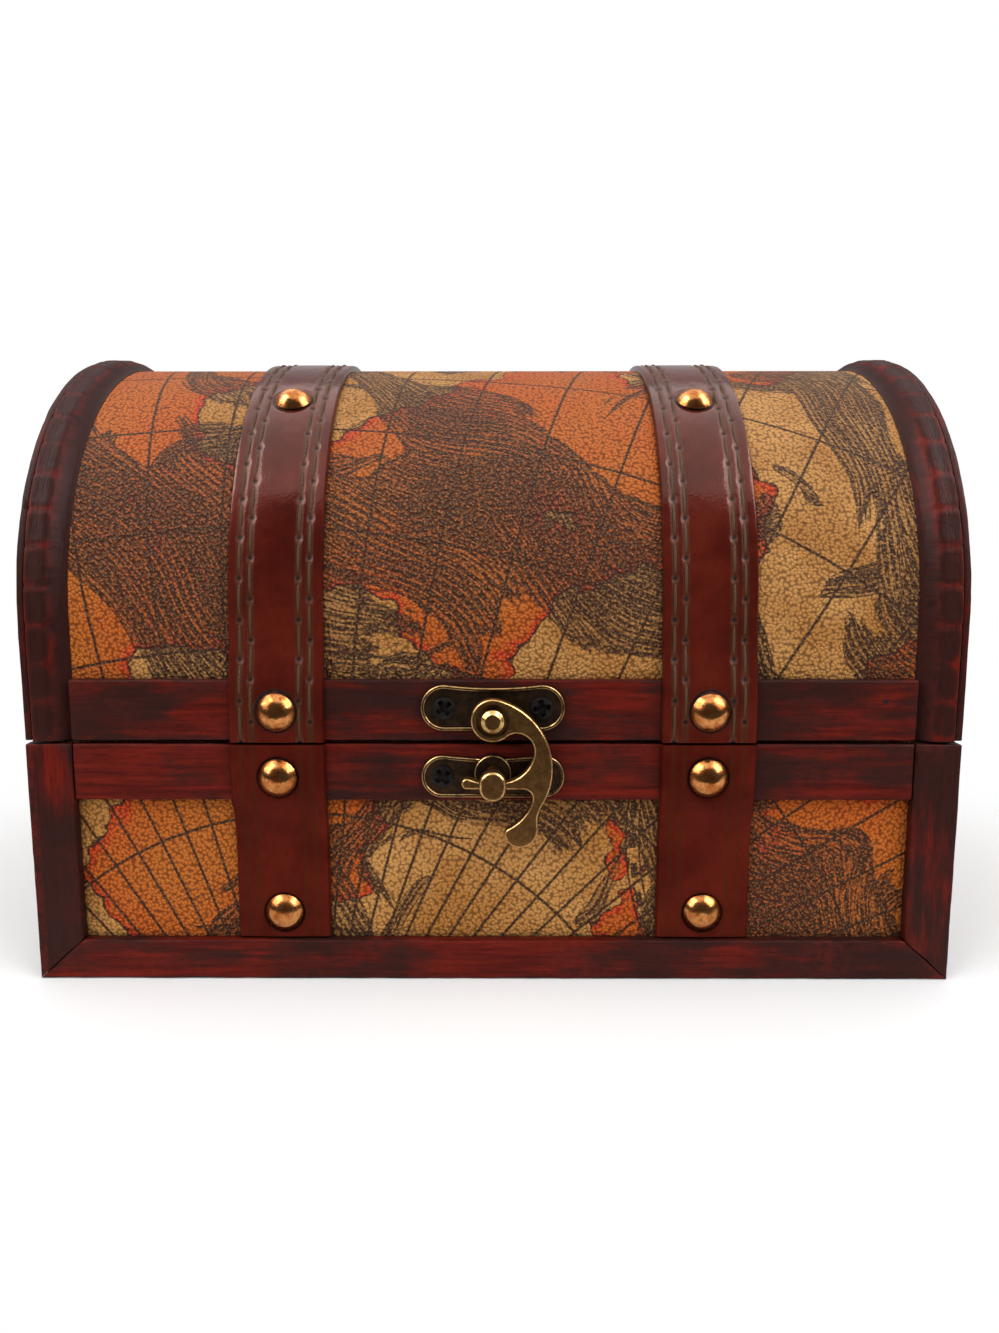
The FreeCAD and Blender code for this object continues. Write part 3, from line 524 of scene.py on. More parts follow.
# %% Metals
def nail_brass():
    material, g = new_finish("nail_brass", Metallic=1.0)
    blots = g.noise(g.place(), 1.7 * MM, 4, 0.65)
    specks = g.noise(g.place(), 0.5 * MM, 2, 0.6)
    colour = g.blend(g.ease(blots, 0.35, 0.65), paint(196, 134, 78), paint(158, 88, 42))
    colour = g.tint(colour, g.ease(specks, 0.6, 0.72), 0.75, (76, 34, 16))
    g.surface(colour, g.span(blots, 0.3, 0.7, 0.14, 0.3), blots, 0.15 * MM, 0.35)
    return material


def antique_bronze(name, dark, mid, bright):
    """Dark bronze, brighter brass where the surface turns away from the front: rubbed wear and a painted
    highlight.
    """
    material, g = new_finish(name, Metallic=1.0)
    blots = g.noise(g.place(), 1.4 * MM, 5, 0.7)
    normal = g.add("TexCoord").outputs["Normal"]
    facing = g.math("ABSOLUTE", g.add("SeparateXYZ", normal).outputs[1])
    # Edges that turn from the front get brighter brass: partly rubbed wear, partly a painted highlight.
    edge = g.times(g.ease(facing, 0.985, 0.85), g.ease(facing, 0.1, 0.5))
    rubbed = g.times(edge, g.ease(blots, 0.25, 0.6))
    colour = g.blend(rubbed, g.blend(g.ease(blots, 0.35, 0.7), dark, mid), bright)
    g.surface(colour, g.math("MULTIPLY_ADD", rubbed, -0.2, 0.46), blots, 0.12 * MM, 0.5)
    return material


def blackened_steel():
    material, g = new_finish("blackened_steel", Metallic=0.9)
    blots = g.noise(g.place(), 0.8 * MM, 4, 0.6)
    colour = g.blend(blots, paint(18, 17, 17), paint(48, 44, 42))
    g.surface(colour, g.span(blots, 0.3, 0.7, 0.38, 0.6), blots, 0.1 * MM, 0.4)
    return material


RUBBED_AND_HIGHLIGHT_BRASS = paint(214, 172, 112)
nail_finish, screw_finish = nail_brass(), blackened_steel()
plate_finish = antique_bronze("plate_bronze", paint(52, 40, 33), paint(82, 60, 42), RUBBED_AND_HIGHLIGHT_BRASS)
hook_finish = antique_bronze("hook_bronze", paint(96, 66, 38), paint(124, 90, 52), RUBBED_AND_HIGHLIGHT_BRASS)
print("materials", len(bpy.data.materials))


# %% [markdown]
# New meshes share one path into the scene: points and faces become an object that rides on its body, and
# the imported node that it takes the place of is hidden. Maps and attributes are written point by point.
# Pieces that keep the form of a imported mesh start from a copy of it, welded, with each flat made one face.

# %% Meshes and copies
FLAT_ANGLE, WELD = radians(1), 0.001 * MM


def mesh_of(name, points, faces):
    mesh = bpy.data.meshes.new(name)
    mesh.from_pydata(points, [], faces)
    mesh.update()
    return mesh


def mesh_from(bm, name):
    """Close an edited copy and keep it as a mesh."""
    mesh = bpy.data.meshes.new(name)
    bm.to_mesh(mesh)
    bm.free()
    return mesh


def turn_faces_out(mesh):
    bm = bmesh.new()
    bm.from_mesh(mesh)
    bmesh.ops.recalc_face_normals(bm, faces=bm.faces)
    bm.to_mesh(mesh)
    bm.free()
    return mesh


def welded_copy(node, reach):
    bm = bmesh.new()
    bm.from_mesh(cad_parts[node].data)
    bmesh.ops.remove_doubles(bm, verts=bm.verts, dist=reach)
    return bm


def flat_copy(node, reach):
    bm = welded_copy(node, reach)
    bmesh.ops.dissolve_limit(bm, angle_limit=FLAT_ANGLE, verts=bm.verts, edges=bm.edges)
    return bm


# %% Maps, attributes and pieces
SHARP_ANGLE = radians(38)


def write_map(mesh, name, spots):
    """A map in millimetres, with one spot for each point of the mesh."""
    layer = mesh.uv_layers.new(name=name)
    for loop in mesh.loops:
        layer.data[loop.index].uv = spots[loop.vertex_index]


def write_attribute(mesh, name, values):
    mesh.attributes.new(name, "FLOAT", "POINT").data.foreach_set("value", values)


def make_piece(name, mesh, material, body, slot, *nodes):
    """Put a finished mesh in the scene, smooth but for its sharp edges."""
    mesh.materials.clear()
    mesh.materials.append(material)
    mesh.shade_smooth()
    mesh.set_sharp_from_angle(angle=SHARP_ANGLE)
    piece = bpy.data.objects.new(name, mesh)
    scene.collection.objects.link(piece)
    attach(piece, body)
    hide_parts(*nodes)
    return piece


# %% Sheets and tubes
def layered_sheet(name, tops, bottoms):
    """A closed sheet from two grids of points, its upper side and its back."""
    rows, columns = len(tops), len(tops[0])
    points = [spot for row in tops + bottoms for spot in row]
    below = rows * columns
    faces = []
    for i in range(rows - 1):
        for j in range(columns - 1):
            corner = i * columns + j
            quad = [corner, corner + 1, corner + columns + 1, corner + columns]
            faces.append(quad)
            faces.append([below + k for k in reversed(quad)])
    rim = list(range(columns)) + [i * columns + columns - 1 for i in range(1, rows)]
    rim += [(rows - 1) * columns + j for j in range(columns - 2, -1, -1)]
    rim += [i * columns for i in range(rows - 2, 0, -1)]
    for first, second in zip(rim, rim[1:] + rim[:1]):
        faces.append([second, first, below + first, below + second])
    return turn_faces_out(mesh_of(name, points, faces))


def ring_faces(base, rings, sides):
    """The faces between rings of points that follow each other."""
    faces = []
    for ring in range(rings - 1):
        for side in range(sides):
            a, b = base + ring * sides + side, base + ring * sides + (side + 1) % sides
            faces.append([a, b, b + sides, a + sides])
    return faces


def tube_faces(base, rings, sides):
    """The faces of a tube that is shut at both ends."""
    ends = [[base + side for side in reversed(range(sides))],
            [base + (rings - 1) * sides + side for side in range(sides)]]
    return ring_faces(base, rings, sides) + ends


# %% [markdown]
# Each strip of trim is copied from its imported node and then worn. The corners are eased with a small bevel,
# the faces are cut into a grid, and every point sinks a little by a smooth noise, deeper where an edge has
# chipped. Sinking only inward keeps the strip inside the space that was packed for it.

# %% A worn copy of a strip
DENT_GRID, EASE = 2.2 * MM, 0.32 * MM
LEAST_CORNER, MOST_CORNER = radians(40), radians(100)
DENT_DEPTH, CHIP_DEPTH, CHIP_START = 0.16 * MM, 0.4 * MM, 0.1
DENT_SIZE, CHIP_SIZE, RUB_SIZE, STAIN_SIZE = 6 * MM, 2.6 * MM, 9 * MM, 26 * MM
EDGE_GAIN, FULL_CORNER, STAIN_CHANGE, GRAIN_SHIFT = 3.2, 0.97, 0.8, 53


def unevenness(place):
    """A smooth noise with some finer noise on it."""
    return noise.fractal(place, 0.8, 2, 3)


def eased_copy(node):
    """The node's mesh with its corners bevelled and its faces cut into a grid."""
    bm = flat_copy(node, WELD)
    corners = [e for e in bm.edges if e.is_manifold and LEAST_CORNER < e.calc_face_angle() < MOST_CORNER]
    bmesh.ops.bevel(bm, geom=corners, offset=EASE, segments=2, profile=0.5, affect="EDGES")
    low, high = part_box(node)
    for axis in range(3):
        count = int((high[axis] - low[axis]) / DENT_GRID)
        normal = Vector([float(k == axis) for k in range(3)])
        for step in range(1, count):
            spot = normal * (low[axis] + (high[axis] - low[axis]) * step / count)
            everything = bm.verts[:] + bm.edges[:] + bm.faces[:]
            bmesh.ops.bisect_plane(bm, geom=everything, dist=WELD / 2, plane_co=spot, plane_no=normal)
    bm.normal_update()
    return bm


def grain_spot(spot, axis):
    """Along the grain and across it: the grain follows an axis, or the arch where there is none."""
    if axis is None:
        run, out = arch_run(spot.y, spot.z)
        return run, out + spot.x
    return spot[axis], spot[(axis + 1) % 3] + spot[(axis + 2) % 3]


def worn_trim(node, body, number, axis, darkness):
    bm = eased_copy(node)
    wear, stain, moves = [], [], []
    seat = Vector((number * 0.37, number * 0.61, number * 0.83))
    for vertex in bm.verts:
        normals = sum((face.normal for face in vertex.link_faces), Vector()) / len(vertex.link_faces)
        edge = min(1, EDGE_GAIN * (1 - normals.length))
        dent = 0.5 + 0.5 * unevenness(vertex.co / DENT_SIZE + seat)
        chip = max(0, noise.noise(vertex.co / CHIP_SIZE + seat) - CHIP_START) if edge < FULL_CORNER else 0
        moves.append(vertex.normal * (DENT_DEPTH * dent + CHIP_DEPTH * chip * edge))
        wear.append(min(1, edge * 0.9 + 0.5 * max(0, noise.noise(vertex.co / RUB_SIZE + seat))))
        stain.append(darkness + STAIN_CHANGE * noise.noise(vertex.co / STAIN_SIZE + seat))
    for vertex, move in zip(bm.verts, moves):
        vertex.co -= move
    mesh = mesh_from(bm, node + "_worn")
    write_map(mesh, "grain", [[k / MM + number * GRAIN_SHIFT for k in grain_spot(vertex.co, axis)]
                              for vertex in mesh.vertices])
    write_attribute(mesh, "wear", wear)
    write_attribute(mesh, "stain", stain)
    return make_piece(node + "_worn", mesh, mahogany_finish, body, "trim_wood", node)


# %% [markdown]
# The grain runs along each strip, as a joiner would cut it: up the stiles, along the rails and round the
# rings on the lid's ends. The rails at front and back were rubbed back the most, so how dark a strip is left
# goes by the way it runs. Every strip has a number that shifts its noise, and no two are worn alike.

# %% Wear all the trim
ALONG_X, ALONG_Y, ALONG_Z, ROUND_ARCH = 0, 1, 2, None
STAIN_SHARES = {"base": 0.36, "lid": 0.6, "upright": 0.92}
trim_grains = {}
for face in ("front", "back"):
    for side in ("left", "right"):
        trim_grains[f"base_{face}_stile_{side}"] = ALONG_Z
        trim_grains[f"base_{side}_stile_{face}"] = ALONG_Z
    for rail in (f"base_{face}_bottom_rail", f"base_{face}_top_rail", f"lid_{face}_rail"):
        trim_grains[rail] = ALONG_X
for side in ("left", "right"):
    for rail in (f"base_{side}_bottom_rail", f"base_{side}_top_rail", f"lid_side_rail_{side}"):
        trim_grains[rail] = ALONG_Y
    trim_grains[f"lid_end_ring_{side}"] = ROUND_ARCH
for number, (node, axis) in enumerate(trim_grains.items(), start=1):
    body = node.split("_")[0]
    worn_trim(node, body, number, axis, STAIN_SHARES[body if axis == ALONG_X else "upright"])
print("worn trim", len(trim_grains))

# %% [markdown]
# The strips over the lid's arched edges were kerfed across so that they would bend. They are lofted here: one
# section is carried up the front, round the arch and down the back, and its height dips at every kerf and
# dishes a little between kerfs. Stain has settled in those dishes, and the ridges round them are rubbed red.

# %% Section of a strip
STRIP_FLAT, STRIP_EASE, STRIP_LIP = 0.42, 0.5 * MM, 0.12 * MM
CORNER_STEPS, FLAT_STEPS, ROUND_STEPS = 4, 6, 12


def strip_section(width, thick):
    """The strip's outline from its outer foot over the flat to the long inner round: across and out."""
    spots = [(0, 0), (0, thick * 0.6)]
    for k in range(CORNER_STEPS + 1):
        turn = k * pi / 2 / CORNER_STEPS
        spots.append((STRIP_EASE * (1 - cos(turn)), thick - STRIP_EASE * (1 - sin(turn))))
    flat = STRIP_FLAT * width
    for k in range(1, FLAT_STEPS + 1):
        spots.append((STRIP_EASE + (flat - STRIP_EASE) * k / FLAT_STEPS, thick))
    for k in range(1, ROUND_STEPS + 1):
        share = 0.5 + 0.5 * cos(k * pi / ROUND_STEPS)
        spots.append((flat + (width - flat) * k / ROUND_STEPS, STRIP_LIP + (thick - STRIP_LIP) * share))
    return spots + [(width, 0)]


# %% Kerf-bent strips
KERF_COUNT, RINGS_PER_KERF, LEG_SHARE = 24, 10, 0.25
KERF_HALF, KERF_DEPTH, DISH_DEPTH = 0.4 * MM, 0.3 * MM, 0.16 * MM
KERF_END, KERF_FADE = 0.75, 0.2
PAD_MIDDLE, PAD_HALF, PAD_LENGTH_HALF = 0.32, 0.27, 0.44
RIDGE_START, RIDGE_FADE, RIDGE_WEAR = 0.5, 0.6, 0.3
PAD_STAIN, RIDGE_LOSS = 0.95, 0.45
STRIP_DENT, STRIP_DENT_SIZE, STRIP_SHIFT = 0.14 * MM, 3.5 * MM, 71


def kerfed_strip(node, number):
    low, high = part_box(node)
    thick, width = high.y - cover_out, high.x - low.x
    outward = -1 if low.x < 0 else 1
    outer = low.x if outward < 0 else high.x
    pitch = pi * cover_out / KERF_COUNT
    steps = ceil(arch_total / pitch * RINGS_PER_KERF)
    section = strip_section(width, thick)
    seat = Vector((number * 3.1, 0, number * 1.7))
    points, wear, stain, grain = [], [], [], []
    for step in range(steps + 1):
        run = arch_total * step / steps
        phase = ((run - lid_leg) / pitch) % 1
        bent = 1 if lid_leg <= run <= arch_total - lid_leg else LEG_SHARE
        to_kerf = min(phase, 1 - phase) * pitch
        for across, out in section:
            pad = ((phase - 0.5) / PAD_LENGTH_HALF) ** 4 + ((across / width - PAD_MIDDLE) / PAD_HALF) ** 4
            cut = min(1, max(0, (KERF_END - across / width) / KERF_FADE))
            sink = KERF_DEPTH * bent * cut * exp(-(to_kerf / KERF_HALF) ** 2)
            sink += DISH_DEPTH * bent * max(0, 1 - pad)
            sink += STRIP_DENT * (0.5 + 0.5 * unevenness(Vector((across, run, 0)) / STRIP_DENT_SIZE + seat))
            y, z = arch_place(run, cover_out + out - sink * min(1, out / (0.5 * thick)))
            points.append(Vector((outer - outward * across, y, z)))
            ridge = min(1, max(0, (pad - RIDGE_START) / RIDGE_FADE)) * cut
            wear.append(ridge * RIDGE_WEAR * (1 + bent))
            stain.append(PAD_STAIN - RIDGE_LOSS * ridge)
            grain.append([k / MM + number * STRIP_SHIFT for k in (run, across + out)])
    mesh = turn_faces_out(mesh_of(node + "_bent", points, tube_faces(0, steps + 1, len(section))))
    write_map(mesh, "grain", grain)
    write_attribute(mesh, "wear", wear)
    write_attribute(mesh, "stain", stain)
    return make_piece(node + "_bent", mesh, mahogany_finish, "lid", "trim_wood", node)


for number, side in enumerate(("left", "right"), start=1):
    kerfed_strip(f"lid_arch_strip_{side}", number)
print("kerfs on each strip", KERF_COUNT)

# %% [markdown]
# The covers are thin sheets glued flat, so each is a grid with a back, laid where its node lies. What matters
# is the map: the lid's print runs up the front, over the dome and down the back without a break, and every
# other face takes its own part of the chart, as someone facing it would see it.

# %% Covers of the walls
COVER_GRID = 3 * MM


def spread(low, high, step):
    count = max(1, ceil((high - low) / step))
    return [low + (high - low) * k / count for k in range(count + 1)]


def print_piece(node, grids, body, place):
    """A cover from its two grids, with a print map worked out from each point."""
    mesh = layered_sheet(node + "_print", *grids)
    write_map(mesh, "print", [place(vertex.co) for vertex in mesh.vertices])
    return make_piece(node + "_print", mesh, print_finish, body, "printed_leatherette", node)


def wall_cover(face, right, up):
    node = f"base_{face}_cover"
    low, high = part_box(node)
    axis, other = (1, 0) if face in ("front", "back") else (0, 1)
    outer, inner = (low, high) if low[axis] < 0 else (high, low)
    tops, bottoms = [], []
    for z in spread(low.z, high.z, COVER_GRID):
        for rows, depth in ((tops, outer[axis]), (bottoms, inner[axis])):
            rows.append([Vector((k, depth, z) if axis else (depth, k, z))
                         for k in spread(low[other], high[other], COVER_GRID)])
    way = 1 if face in ("front", "right") else -1
    cover = print_piece(node, (tops, bottoms), "base",
                        lambda spot: (way * spot[other] / MM + right, spot.z / MM + up))


wall_parts = {"front": (0, 0), "back": (10, 120), "left": (210, 0), "right": (340, 10)}
for face, (right, up) in wall_parts.items():
    wall_cover(face, right, WALL_PRINT + up)
print("covers on the walls", len(wall_parts))


# %% Covers of the lid
END_GRID, CROWN_STEPS = 0.05, 30
cover_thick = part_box("base_front_cover")[1].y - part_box("base_front_cover")[0].y


def dome_cover():
    low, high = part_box("lid_top_cover")
    tops, bottoms = [], []
    for run in spread(0, arch_total, COVER_GRID / 2):
        for rows, out in ((tops, cover_out), (bottoms, cover_out - cover_thick)):
            rows.append([Vector((x, *arch_place(run, out))) for x in spread(low.x, high.x, COVER_GRID)])
    cover = print_piece("lid_top_cover", (tops, bottoms), "lid",
                        lambda spot: (spot.x / MM, arch_run(spot.y, spot.z)[0] / MM))


def end_cover(side, right, up):
    """The arched cover of an end: rows of points that narrow towards the crown."""
    node = f"lid_end_cover_{side}"
    low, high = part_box(node)
    outer, inner = (low.x, high.x) if low.x < 0 else (high.x, low.x)
    way = 1 if side == "right" else -1
    crown = [spring + cover_out * sin(k * pi / 2 / CROWN_STEPS) for k in range(1, CROWN_STEPS)]
    tops, bottoms = [], []
    for z in spread(low.z, spring, COVER_GRID) + crown:
        half = cover_out if z < spring else sqrt(cover_out ** 2 - (z - spring) ** 2)
        for rows, x in ((tops, outer), (bottoms, inner)):
            rows.append([Vector((x, half * k, z)) for k in spread(-1, 1, END_GRID)])
    cover = print_piece(node, (tops, bottoms), "lid",
                        lambda spot: (way * spot.y / MM + right, spot.z / MM + up))


dome_cover()
end_cover("left", 210, 120)
end_cover("right", 340, 100)
print("length of the dome's cover", round(arch_total / MM, 1), "mm")

# %% [markdown]
# The straps are pressed down round their nails, so the nails' places are needed first. They are read from the
# packed groups: a solid's own points give its middle, and it points away from the chest.

# %% Where the fasteners sit
RIM_SHARE = 0.98


def loose_parts(node):
    """The points of each solid of a node."""
    bm = welded_copy(node, WELD)
    left, parts = set(bm.verts), []
    while left:
        todo, part = [left.pop()], []
        while todo:
            vertex = todo.pop()
            part.append(vertex.co.copy())
            for edge in vertex.link_edges:
                other = edge.other_vert(vertex)
                if other in left:
                    left.remove(other)
                    todo.append(other)
        parts.append(part)
    bm.free()
    return sorted(parts, key=lambda part: tuple(round(k, 5) for k in sum(part, Vector()) / len(part)))


def fastener_frames(node):
    """For each solid of a group: the middle of its head's seat, its outward turn, its radius and height."""
    found = []
    for part in loose_parts(node):
        middle = sum(part, Vector()) / len(part)
        up = Vector((0, middle.y, max(0, middle.z - spring)))
        up.normalize()
        offs = [(spot, (spot - middle).dot(up)) for spot in part]
        wide = max((spot - middle - up * rise).length for spot, rise in offs)
        seat = max(rise for spot, rise in offs if (spot - middle - up * rise).length > RIM_SHARE * wide)
        top = max(rise for spot, rise in offs)
        found.append((middle + up * seat, up.to_track_quat("Z", "Y"), wide, top - seat))
    return found


print("nails", {body: len(fastener_frames(f"{body}_nails")) for body in ("base", "lid")})

# %% [markdown]
# A strap is one strip of leather that climbs over the rail, bends in to the cover and follows the dome. It is
# lofted along that path with a height map across it: rounded edges, a slight crown, two sewn channels along
# each edge, a pit at every needle hole and a moat round each nail. The path's corners are rounded by
# averaging, as leather would round them.

# %% Strap paths
STRAP_STEP, STRAP_BEND, RAMP, DOME_STEPS = 0.5 * MM, 4.5 * MM, 4 * MM, 90


def soft_path(corners):
    """Evenly spaced points (y, z) with outward directions along a polyline whose corners are averaged."""
    spots = []
    for (y0, z0), (y1, z1) in zip(corners, corners[1:]):
        count = max(1, round(hypot(y1 - y0, z1 - z0) / STRAP_STEP))
        spots += [Vector((y0 + (y1 - y0) * k / count, z0 + (z1 - z0) * k / count)) for k in range(count)]
    spots.append(Vector(corners[-1]))
    reach = round(STRAP_BEND / STRAP_STEP)
    smooth = []
    for k in range(len(spots)):
        near = min(reach, k, len(spots) - 1 - k)
        group = spots[k - near:k + near + 1]
        smooth.append(sum(group, Vector((0, 0))) / len(group))
    path = []
    for k, spot in enumerate(smooth):
        ahead = smooth[min(k + 1, len(smooth) - 1)] - smooth[max(k - 1, 0)]
        ahead.normalize()
        path.append((spot, Vector((-ahead.y, ahead.x))))
    return path


base_corners = [(-cover_out, strap_low), (-cover_out, base_rail_low - RAMP), (-rail_out, base_rail_low),
                (-rail_out, base_top)]
lid_front = [(-rail_out, lid_low), (-rail_out, lid_rail_top), (-cover_out, lid_rail_top + RAMP)]
dome_turns = [k * pi / DOME_STEPS for k in range(DOME_STEPS + 1)]
dome = [(-cover_out * cos(turn), spring + cover_out * sin(turn)) for turn in dome_turns]
lid_corners = lid_front + dome + [(-y, z) for y, z in reversed(lid_front)]
base_path, lid_path = soft_path(base_corners), soft_path(lid_corners)
print("strap lengths", len(base_path) * STRAP_STEP / MM, len(lid_path) * STRAP_STEP / MM, "mm")

# %% [markdown]
# The face of a strap is one height, worked out for every point of it. A bump could draw the channels too, but
# the straps are seen edge on at the top of the lid, where only a real dip shows, and the same function can
# tell the leather where its channels and holes are.

# %% Height of a strap's face
CHANNEL_SHARES = (0.125, 0.24, 0.745, 0.86)
CHANNEL_HALF, CHANNEL_DEPTH = 0.7 * MM, 0.12 * MM
STITCH_PITCH, HOLE_RADIUS, HOLE_DEPTH = 8 * MM, 0.6 * MM, 0.3 * MM
MOAT_HALF, MOAT_DEPTH, MOAT_GAP = 0.45 * MM, 0.35 * MM, 0.1 * MM
STRAP_EDGE, STRAP_CROWN = 0.5 * MM, 0.1 * MM
STRAP_DENT, STRAP_DENT_SIZE = 0.05 * MM, 7 * MM


def hole_distance(run, row):
    """How far along the strap the nearest needle hole of a row lies: the rows are staggered in pairs."""
    phase = (run / STITCH_PITCH + 0.5 * (row % 2)) % 1
    return min(phase, 1 - phase) * STITCH_PITCH


def strap_height(across, width, run, channel_depth, hole_depth, nails, seat):
    """Height of the strap's face over its full thickness, with how much of it is channel and hole."""
    edge = min(across, width - across)
    height = -STRAP_EDGE * (1 - sqrt(max(0, 1 - (1 - min(1, edge / STRAP_EDGE)) ** 2)))
    channel, hole, moat = 0, 0, 0
    for row, share in enumerate(CHANNEL_SHARES):
        off = across - share * width
        channel = max(channel, exp(-(off / CHANNEL_HALF) ** 2))
        if hole_depth:
            hole = max(hole, exp(-(hypot(off, hole_distance(run, row)) / HOLE_RADIUS) ** 2))
    for spot, radius in nails:
        past = hypot(across - width / 2, run - spot) - radius
        moat = max(moat, exp(-((past - MOAT_GAP) / MOAT_HALF) ** 2))
    dent = STRAP_DENT * unevenness(Vector((across, run, 0)) / STRAP_DENT_SIZE + seat)
    height -= channel_depth * channel + hole_depth * hole + MOAT_DEPTH * moat - dent
    # The last value marks needle holes and a ring round each nail, which the leather paints dark as painted
    # shade.
    return height - STRAP_CROWN * (2 * across / width - 1) ** 2, channel, max(hole, 0.8 * moat)


print("needle holes every", STITCH_PITCH / MM, "mm")

# %% Leather straps
ACROSS_COUNT, LEATHER_SHIFT = 64, 40


def nail_spots(group, middle, path, mirror):
    """How far along a strap's path its nails lie, with their radius."""
    spots = []
    for seat, turn, radius, rise in fastener_frames(group):
        if abs(seat.x - middle) < radius:
            gaps = [(Vector((mirror * seat.y, seat.z)) - spot).length for spot, out in path]
            if min(gaps) < 2 * strap_thick:
                spots.append((gaps.index(min(gaps)) * STRAP_STEP, radius))
    return spots


def leather_strap(node, body, path, mirror, channel_depth, hole_depth, number, leather):
    """A strap lofted along its path, and the flat size that it was cut to."""
    low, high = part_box(node)
    width = high.x - low.x
    nails = nail_spots(f"{body}_nails", (low.x + high.x) / 2, path, mirror)
    seat = Vector((number * 5.3, number * 2.9, 0))
    tops, bottoms, channels, holes, flat = [], [], [], [], []
    for k, (spot, out) in enumerate(path):
        run = k * STRAP_STEP
        upper, lower = [], []
        for j in range(ACROSS_COUNT + 1):
            across = width * j / ACROSS_COUNT
            height, channel, hole = strap_height(across, width, run, channel_depth, hole_depth, nails, seat)
            face = spot + out * (strap_thick + height)
            upper.append(Vector((low.x + across, mirror * face.x, face.y)))
            lower.append(Vector((low.x + across, mirror * spot.x, spot.y)))
            channels.append(channel * channel_depth / CHANNEL_DEPTH)
            holes.append(hole)
            flat.append((across / MM + LEATHER_SHIFT * number, run / MM))
        tops.append(upper)
        bottoms.append(lower)
    mesh = layered_sheet(node + "_leather", tops, bottoms)
    write_attribute(mesh, "channel", channels + [0] * len(channels))
    # The hole attribute carries the painted shade of needle holes and nail moats.
    write_attribute(mesh, "hole", holes + [0] * len(holes))
    write_map(mesh, "grain", flat + flat)
    strap = make_piece(node + "_leather", mesh, leather, body, "strap_leather", node)
    return strap, (width, len(path) * STRAP_STEP)


# %% [markdown]
# The thread of the lid's straps is waxed and thick. Each stitch is a short tube that rises out of one needle
# hole and dips into the next, so that it lies in its channel and catches the light by itself. The base's
# straps have pressed channels only.

# %% Stitching
THREAD_RINGS, THREAD_SIDES, THREAD_RADIUS = 9, 7, 0.34 * MM
THREAD_SINK, THREAD_RISE, THREAD_END, STITCH_GAP = 0.52 * MM, 0.36 * MM, 0.55, 0.6 * MM


def stitching(name, node, path, body):
    low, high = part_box(node)
    width = high.x - low.x
    total = (len(path) - 1) * STRAP_STEP
    points, faces, flat = [], [], []
    for row, share in enumerate(CHANNEL_SHARES):
        first = -0.5 * (row % 2) * STITCH_PITCH
        for stitch in range(ceil(total / STITCH_PITCH) + 1):
            start = first + stitch * STITCH_PITCH + STITCH_GAP
            if start < 0 or start + STITCH_PITCH > total:
                continue
            faces += tube_faces(len(points), THREAD_RINGS, THREAD_SIDES)
            for k in range(THREAD_RINGS):
                share_along = k / (THREAD_RINGS - 1)
                swell = sin(pi * share_along) ** 0.5
                run = start + share_along * (STITCH_PITCH - 2 * STITCH_GAP)
                spot, out = path[round(run / STRAP_STEP)]
                rise = strap_thick - THREAD_SINK + THREAD_RISE * swell
                thick = THREAD_RADIUS * (THREAD_END + (1 - THREAD_END) * swell)
                for side in range(THREAD_SIDES):
                    turn = 2 * pi * side / THREAD_SIDES
                    lift = spot + out * (rise + thick * sin(turn))
                    points.append(Vector((low.x + share * width + thick * cos(turn), lift.x, lift.y)))
                    flat.append((run / MM, side * 0.3))
    mesh = mesh_of(name, points, faces)
    write_map(mesh, "grain", flat)
    return make_piece(name, mesh, thread_finish, body, "strap_leather")


# %% Bind the chest
number = 0
for side in ("left", "right"):
    for face, mirror in (("front", 1), ("back", -1)):
        number += 1
        node = f"base_{face}_strap_{side}"
        strap, size = leather_strap(node, "base", base_path, mirror, CHANNEL_DEPTH / 2, 0, number,
                                    base_leather)
    number += 1
    node = f"lid_strap_{side}"
    strap, size = leather_strap(node, "lid", lid_path, 1, CHANNEL_DEPTH, HOLE_DEPTH, number, lid_leather)
    threads = stitching(f"lid_strap_{side}_stitching", node, lid_path, "lid")
print("straps", number)

# %% [markdown]
# Nails and screws are turned shapes in a group, one solid each, so a single lathe makes them all: only the
# height over the head differs. The nail heads are hammered slightly, each in its own way, and the screw heads
# get the cross that a driver needs.

# %% Heads on a lathe
def heads(name, node, body, material, slot, height, rings, sides):
    """Lathed heads for a group, with a height function of the place on the head."""
    points, faces = [], []
    for number, (seat, turn, radius, rise) in enumerate(fastener_frames(node)):
        base = len(points)
        for ring in range(rings + 1):
            far = radius * (1 - ring / (rings + 1))
            for side in range(sides):
                around = 2 * pi * side / sides
                x, y = far * cos(around), far * sin(around)
                z = height(x, y, radius, rise, number) if ring else 0
                points.append(seat + turn @ Vector((x, y, z)))
        faces += ring_faces(base, rings + 1, sides)
        last, tip = base + rings * sides, len(points)
        points.append(seat + turn @ Vector((0, 0, height(0, 0, radius, rise, number))))
        faces += [[last + side, last + (side + 1) % sides, tip] for side in range(sides)]
        faces.append([base + side for side in reversed(range(sides))])
    return make_piece(name, mesh_of(name, points, faces), material, body, slot, node)


# %% Nails and screws
NAIL_GRID, SCREW_GRID = (10, 40), (22, 64)
HAMMER_SIZE, HAMMER_DEPTH = 2.2 * MM, 0.09 * MM
CROSS_ARM, CROSS_REACH, CROSS_FLANK, CROSS_DEPTH, CROSS_TURN = 0.15, 0.66, 0.08, 0.8, 1.1


def hammered_dome(x, y, radius, rise, number):
    """A spherical cap with shallow hammer marks."""
    ball = (radius ** 2 + rise ** 2) / (2 * rise)
    far = hypot(x, y)
    cap = sqrt(max(0, ball ** 2 - far ** 2)) - (ball - rise)
    mark = noise.fractal(Vector((x, y, 0)) / HAMMER_SIZE + Vector((number * 3.7, 0, 0)), 0.9, 2, 2)
    return cap + HAMMER_DEPTH * mark * (1 - (far / radius) ** 2)


